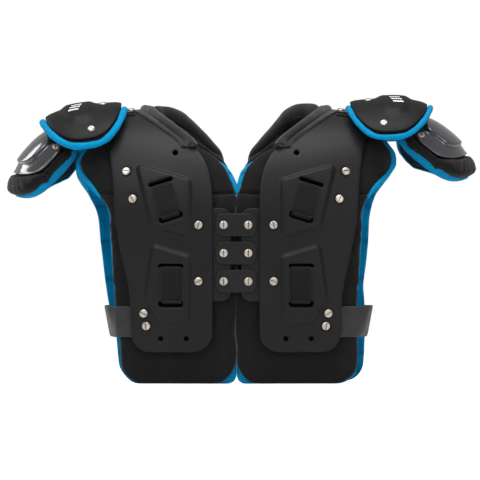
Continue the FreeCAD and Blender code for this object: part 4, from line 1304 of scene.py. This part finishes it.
webs = [web_strap(*spec[:4], face) for face in (-1, 1) for spec in LOOPS]
for side, hand in SIDES:
    straps = [ribbon(f"w{i}", grid, normals, 1.5, WEB, side=side)
              for i, (grid, normals) in enumerate(webs)]
    attach(join(straps, hand + "_webbing"), hand + "_half", hand + "_liner_straps",
           slot="webbing")

# ------------------------------------------------------------------ epaulets
plate_loop = oval(EP_C, EP_HW, EP_HY, EP_POWER)
dome_loop = oval(193.5, 21.5, 66.0, 3.2)
NOTCH_X, NOTCH_Y = 173, 31.5  # room for the hinge strap in the foam


def plate_edge(flat):
    """The rim turns down a little."""
    return -0.9 * (1 - ease(depth_in(flat, plate_loop), 0.0, 7.0))


def plate_top(flat):
    return EP_T + 3.6 * ease(depth_in(flat, dome_loop), -2.5, 9.0) + plate_edge(flat)


extra = insets(dome_loop, (-2, 0, 2, 4, 6, 8, 10)) + insets(plate_loop, (2.5, 4.5, 6.5))
plate_data = patch(plate_loop, plate_top, plate_edge, epaulet_map, spacing=3.4, rim=1.2,
                   rings=FINE_RINGS, extra=np.vstack(extra))

foam_oval = oval(EP_C, EP_HW + 2.0, EP_HY + 2.0, EP_POWER)
# the oval without the notch, from its -y side round the outer end to its +y side
kept = ~((foam_oval[:, 0] < NOTCH_X) & (np.abs(foam_oval[:, 1]) < NOTCH_Y))
first = int(np.where(kept & ~np.roll(kept, 1))[0][-1])
foam_run = np.roll(foam_oval, -first, axis=0)[np.roll(kept, -first)]
foam_loop = rounded([(float(x), float(y), 0) for x, y in foam_run] + [
    (float(foam_run[-1][0]) + 1, NOTCH_Y, 3), (NOTCH_X, NOTCH_Y, 6),
    (NOTCH_X, -NOTCH_Y, 6), (float(foam_run[0][0]) + 1, -NOTCH_Y, 3)])
foam_data = patch(foam_loop, -3.7,
                  lambda flat: -5.0 - 4.2 * ease(depth_in(flat, foam_oval), 6, 26),
                  epaulet_map, spacing=4.0, rim=1.8)


def foam_pin(points):
    x, y, z = points.T
    return ((z > 0) & (np.abs(y) < 34) & (x < 176)).astype(float)


foam_data = puff(foam_data, foam_pin, voxel=4.0, pressure=2.5, cap=0.9, swell=0.03)
trim_line = resample(foam_run, 2.5, closed=False)
step = np.arange(len(trim_line))
lump = 0.6 * np.sin(step * 0.42) + 0.5 * np.sin(step * 0.17 + 1)
trim_up = epaulet_map(trim_line, 1.0) - epaulet_map(trim_line, 0.0)
trim_out = unit(trim_line - np.array([EP_C, 0]))
# Trim by side: outward move, lift, radius up, radius across. It is looser on the left.
TRIM_FIT = {1: (2.2, -1.5, 3.2, 3.5), -1: (3.0, -2.6, 3.8, 4.2)}
for side, hand in SIDES:
    body = hand + "_epaulet"
    out, lift, radius, radius_across = TRIM_FIT[side]
    attach(emit(body + "_cap", plate_data, [CAP], side, True), body, body + "_plate",
           slot="cap_plastic")
    attach(emit(body + "_foam", foam_data, [COLLAR], side, True), body, body + "_pad",
           slot="pad_fabric")
    path = epaulet_map(trim_line + trim_out * out, lift + 0.4 * lump)
    attach(tube(body + "_trim", path, TRIM, radius, radius_across, up=trim_up, sides=20,
                side=side, droop=True,
                radius_fn=lambda t: 1 + 0.05 * np.sin(t * 60) + 0.04 * np.sin(t * 133 + 1)),
           body, slot="pad_fabric")
    # the row of thread that holds the trim to the foam
    attach(stitches(body + "_trim_stitch", epaulet_map(trim_line - trim_out * 2.2, -3.6),
                    trim_up, THREAD_BLUE, side=side, droop=True), body)


# ------------------------------------------------------------------ hinge straps, arch to epaulet
HINGE_HALF = 29.0


def hinge_grid(droop):
    """Leaves the arch's surface and eases onto the underside of the epaulet."""
    u, v = np.meshgrid(np.linspace(0, 1, 44), np.linspace(-1, 1, 25), indexing="ij")
    x, y = 123.4 + 47.6 * u, HINGE_HALF * v
    low = arch(x, ARCH_RS * np.arcsin(y / half_depth(x)), 3.95)
    high = epaulet_point(x, y, -1.4)
    start, span = (147.0, 8.0) if droop else (148.0, 10.0)
    if droop:
        high = drooped(high)
    t = ease(x, start, start + span)[..., None]
    grid = low * (1 - t) + high * t
    normals = sheet_normals(grid)[:, 12]
    return grid, normals * np.sign(normals[:, 2:3])


for side, hand in SIDES:
    grid, normals = hinge_grid(side < 0)
    strap = ribbon(hand + "_hinge_strap", grid, normals, 1.2, WEB, side=side,
                   width=2 * HINGE_HALF)
    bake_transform(strap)
    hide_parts(hand + "_epaulet_hinge_strap")

# ------------------------------------------------------------------ shoulder cups
cup_loop = to_arc(oval(0, 42.5, 63.0, 2.6, 1.8))
cup_ridge = to_arc(oval(-1.0, 30.0, 47.0, 3.0, 1.8))
cushion_loop = to_arc(oval(2.6, 59.0, 67.0, 2.6))


def cup_top(flat):
    rim = 0.8 * (1 - ease(depth_in(flat, cup_loop), 0.6, 3.4))
    return CUP_T + 4.0 * ease(depth_in(flat, cup_ridge), -1.4, 3.4) + rim


def cup_map(flat, lift, short, out):
    """Places cup points with the outer end shortened along the arc and flared off the arm."""
    t = ease(flat[:, 0], -4, 54)
    return cup_arc(flat[:, 0] - short * t, flat[:, 1], lift + out * t)


def plate_map(flat, lift):
    return cup_map(flat, lift, short=7.0, out=4.5)


def cushion_map(flat, lift):
    return cup_map(flat, lift, short=5.0, out=6.5)


def cushion_low(flat):
    """Underside: deeper in the middle of its fall and to the back, deepest in a front lobe."""
    x, y = flat[:, 0], flat[:, 1]
    deep = 4.8 * ease(x, -46, -8) * (1 - ease(x, 18, 56)) + 1.5 * ease(-y, 10, 50)
    lobe = 15.0 * ease(y, 2, 50) * (1 - ease(x, -4, 44))
    return -17.5 - deep - lobe


def cushion_top(flat):
    """Bulges out beyond the plate, gathered in folds."""
    angle = np.arctan2(flat[:, 1], flat[:, 0])
    fold = 0.9 * np.sin(angle * 34 + 1.5 * np.sin(angle * 9)) + 0.5 * np.sin(angle * 71)
    bulge = ease(-depth_in(flat, cup_loop), -1.0, 5.0)
    upper = ease(-flat[:, 0], 20, 40)
    gather = ease(depth_in(flat, cushion_loop), 2, 7)
    return -2.4 + (5.2 - 4.4 * upper) * bulge + fold * 0.55 * bulge * gather


def cushion_pin(points):
    """Pins what lies under the plate."""
    x, z = points[:, 0] - CUP_C[0], points[:, 2] - CUP_C[1]
    x = x * math.cos(CUP_TILT) - z * math.sin(CUP_TILT)
    return (np.hypot(x / 40.0, points[:, 1] / 58.0) < 1.0).astype(float)


extra = (insets(cup_ridge, (-1.5, -0.7, 0, 0.7, 1.4, 2.1, 2.8, 3.6))
         + insets(cup_loop, (1.2, 1.9, 2.6, 3.4)))
cup_data = patch(cup_loop, cup_top, 0.0, plate_map, spacing=3.2, rim=1.2, rings=FINE_RINGS,
                 extra=np.vstack(extra))
cushion_data = patch(cushion_loop, cushion_top, cushion_low, cushion_map, spacing=3.6,
                     rim=7.5, rings=(0.05, 0.16, 0.32, 0.52, 0.76, 1.0))
cushion_data = puff(cushion_data, cushion_pin, voxel=4.0, pressure=5.0, cap=2.6, swell=0.10)

# Binding round the cushion's rim, in rows of (rise from the underside, outward move).
BINDING_ROWS = [(12.4, -1.6), (11.7, 0.4), (9.0, 1.7), (6.0, 2.2), (2.9, 2.0), (0.2, 0.9),
                (-1.0, -1.6)]
bound = resample(cushion_loop, 2.2)
rows = []
for i, (rise, out) in enumerate(BINDING_ROWS):
    ripple = 0.35 * np.sin(np.arange(len(bound)) * 0.5 + i * 0.2)
    rows.append(cushion_map(insets(bound, [-out])[0], cushion_low(bound) + rise + ripple))
binding = np.stack(rows, 1)
binding = np.concatenate([binding, binding[:1]], 0)
stitch_line = binding[:-1, 1] * 0.75 + binding[:-1, 2] * 0.25
stitch_up = -sheet_normals(binding)[:-1, 2]
for side, hand in SIDES:
    body = hand + "_cup"
    attach(emit(body + "_cap", cup_data, [GLOSS], side, True), body, body + "_plate",
           slot="cap_plastic")
    attach(emit(body + "_cushion", cushion_data, [PAD], side, True), body, body + "_pad",
           slot="pad_fabric")
    attach(thick_sheet(body + "_binding", binding, 1.3, TRIM, side, True), body,
           slot="pad_fabric")
    attach(stitches(body + "_binding_stitch", stitch_line, stitch_up, THREAD_BLUE, lift=0.8,
                    side=side, droop=True), body)

# ------------------------------------------------------------------ cup hinge straps
CUP_STRAP_Y, CUP_STRAP_HALF = 35.5, 12.5
# just under the epaulet, at the outer edge of a strap
strap_z = EP_Z - (EP_R - math.sqrt(EP_R ** 2 - (CUP_STRAP_Y + CUP_STRAP_HALF) ** 2)) - 10.2
# (x, z) points the strap passes through
STRAP_POINTS = np.array([(184, strap_z - 1.3), (193, strap_z - 0.6), (200, strap_z - 1.2),
                         (206, strap_z - 4.0)])
t = np.linspace(0, 3, 24)
x, z = (np.polyval(np.polyfit(range(4), column, 3), t) for column in STRAP_POINTS.T)
line = np.stack([x, np.zeros(24), z], -1)
tangent = unit(np.gradient(line, axis=0))
normals = np.stack([-tangent[:, 2], np.zeros(24), tangent[:, 0]], -1)
for side, hand in SIDES:
    straps = []
    for end in (-1, 1):
        y = np.linspace(-CUP_STRAP_HALF, CUP_STRAP_HALF, 11) + end * CUP_STRAP_Y
        grid = line[:, None, :] + np.stack([0 * y, y, 0 * y], -1)[None]
        straps.append(ribbon(f"cs{end}", grid, normals, 1.4, WEB, side=side, droop=True,
                             width=2 * CUP_STRAP_HALF))
    strap = join(straps, hand + "_cup_straps")
    start, end = to_side([[190.0, 0, strap_z], [204.0, 0, strap_z - 3]], side, True)
    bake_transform(strap)
    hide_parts(hand + "_cup_hinge_straps")

# ------------------------------------------------------------------ side straps
SIDE_Z, SIDE_WIDTH, SIDE_STATIONS = 57.0, 38.0, 130


def strap_plan(share):
    """(x, y) line of the strap from the back leg round to the front, 0 at its lower edge."""
    back, front = 151.5 + 11.0 * share, 157.0 + 7.0 * share
    z = SIDE_Z + SIDE_WIDTH * share
    points = [arch(x, along_at(x, z, -1), -1.9)[:2] for x in range(99, 135, 5)]
    points += [(140, -101.3), (145.5, -99.0), (back - 1, -88), (back + 1, -72), (back + 2, -45),
               ((back + front) / 2 + 2, 0), (front + 1.5, 45), (front + 1, 75), (front, 88),
               (front - 3.5, 98), (146, 105.5), (139, 109.0), (132, 111.4)]
    points.append(arch(123.8, along_at(123.8, z, 1), 5.5)[:2])
    return np.array(points, float)


def even_line(points):
    """Smooth line through the points, in evenly spaced stations."""
    run = lengths(points)
    at = np.append(np.arange(0, run[-1], 2.5), run[-1])
    line = relax(np.stack([curve(run, column)(at) for column in points.T], -1), 3)
    return resample(line, lengths(line)[-1] / (SIDE_STATIONS - 1), closed=False)


lower, upper = even_line(strap_plan(0.0)), even_line(strap_plan(1.0))
grid = np.zeros((SIDE_STATIONS, 15, 3))
for j, share in enumerate(np.linspace(0, 1, 15)):
    grid[:, j, :2] = lower * (1 - share) + upper * share
    grid[:, j, 2] = SIDE_Z + SIDE_WIDTH * share
normals = sheet_normals(grid)[:, 7]
for side, hand in SIDES:
    shifted = grid.copy()
    shifted[..., 0] += (3.0 if side > 0 else -3.5) * ease(grid[..., 0], 143, 156)
    attach(ribbon(hand + "_elastic_strap", shifted, normals, 2.0, ELASTIC, side=side,
                  width=SIDE_WIDTH), hand + "_half", hand + "_side_strap", slot="elastic")

# ------------------------------------------------------------------ front lace
path = []
for i, z in enumerate(EYELET_Z):
    along = along_at(EYELET_X, z, 1)
    right = [arch(EYELET_X, along, lift) for lift in (-2.6, 6.2)]
    left = [point * (-1, 1, 1) for point in right]
    path += left + right[::-1] if i % 2 == 0 else right + left[::-1]
lace = tube("lace_cord", relax(resample(path, 1.2, closed=False), 6), LACE, radius=1.5)
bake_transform(lace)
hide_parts("front_lace")

# ------------------------------------------------------------------ hardware keeps its CAD shape
for name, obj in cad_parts.items():
    if "screws" in name or "nuts" in name or "eyelets" in name:
        mat = NICKEL
    elif "hook" in name:
        mat = HOOK
    else:
        continue
    obj.data.materials.clear()
    obj.data.materials.append(mat)

# ------------------------------------------------------------------ stage, light, camera (metres)
bpy.ops.mesh.primitive_plane_add(size=14, location=(0, 0, -0.0006))
floor = bpy.context.object
floor.name = "floor"
mat, nodes = new_material("floor_pale")
mottle = nodes.noise(nodes.coords(), scale=3.0, detail=2)
seen = nodes.new("LightPath").outputs["Is Camera Ray"]
nodes.surface({
    "Base Color": nodes.ramp(mottle, (0.0, (0.86, 0.86, 0.86)), (1.0, (0.90, 0.90, 0.90))),
    "Roughness": 0.95, "Specular IOR Level": 0.0, "Emission Color": (1, 1, 1, 1),
    "Emission Strength": nodes.times(seen, 0.74)})  # glows only to the camera
floor.data.materials.append(mat)

scene = bpy.context.scene
world = scene.world or bpy.data.worlds.new("World")
scene.world = world
world.use_nodes = True
nodes = Nodes(world.node_tree)
background = world.node_tree.nodes["Background"]
background.inputs["Color"].default_value = (1, 1, 1, 1)
rays = nodes.new("LightPath").outputs
# ambient level, and what is added for reflections and for the camera
AMBIENT, TO_GLOSSY, TO_CAMERA = 0.27, 0.10, 0.736
to_camera = nodes.times(rays["Is Camera Ray"], TO_CAMERA)
ambient = nodes.math("MULTIPLY_ADD", rays["Is Glossy Ray"], TO_GLOSSY, AMBIENT)
nodes.feed(background.inputs["Strength"], nodes.plus(to_camera, ambient))


def aim(obj, location, target):
    obj.location = location
    obj.rotation_euler = (Vector(target) - Vector(location)).to_track_quat("-Z", "Y").to_euler()


def softbox(name, location, target, size, power):
    light = bpy.data.lights.new(name, "AREA")
    light.shape = "RECTANGLE"
    light.size, light.size_y = size
    light.energy = power
    aim(link(light, name), location, target)


softbox("key", location=(-1.3, -2.2, 2.3), target=(0, 0, 0.18), size=(1.6, 1.2), power=34)
softbox("fill", location=(1.7, -2.4, 1.3), target=(0, 0, 0.18), size=(1.4, 1.4), power=15)
softbox("top", location=(0, -0.35, 2.3), target=(0, 0, 0.2), size=(1.8, 0.9), power=44)
softbox("rim", location=(-1.5, 0.9, 1.0), target=(-0.2, 0, 0.25), size=(0.5, 0.9), power=6)

# a level view of the back, 0.5856 m wide at 11.88 m
CAMERA_DISTANCE, VIEW_DISTANCE, VIEW_WIDTH, SENSOR = 12.0, 11.88, 0.5856, 36
camera = bpy.data.cameras.new("camera")
camera.lens = SENSOR * VIEW_DISTANCE / VIEW_WIDTH
camera.sensor_width = SENSOR
camera.clip_end = 60
camera_obj = link(camera, "camera")
target = Vector((0.0049 + SHIFT[0] * MM, 0.0, 0.1757))
aim(camera_obj, target + Vector((0, -CAMERA_DISTANCE, 0)), target)
scene.camera = camera_obj
scene.view_settings.view_transform = "Standard"
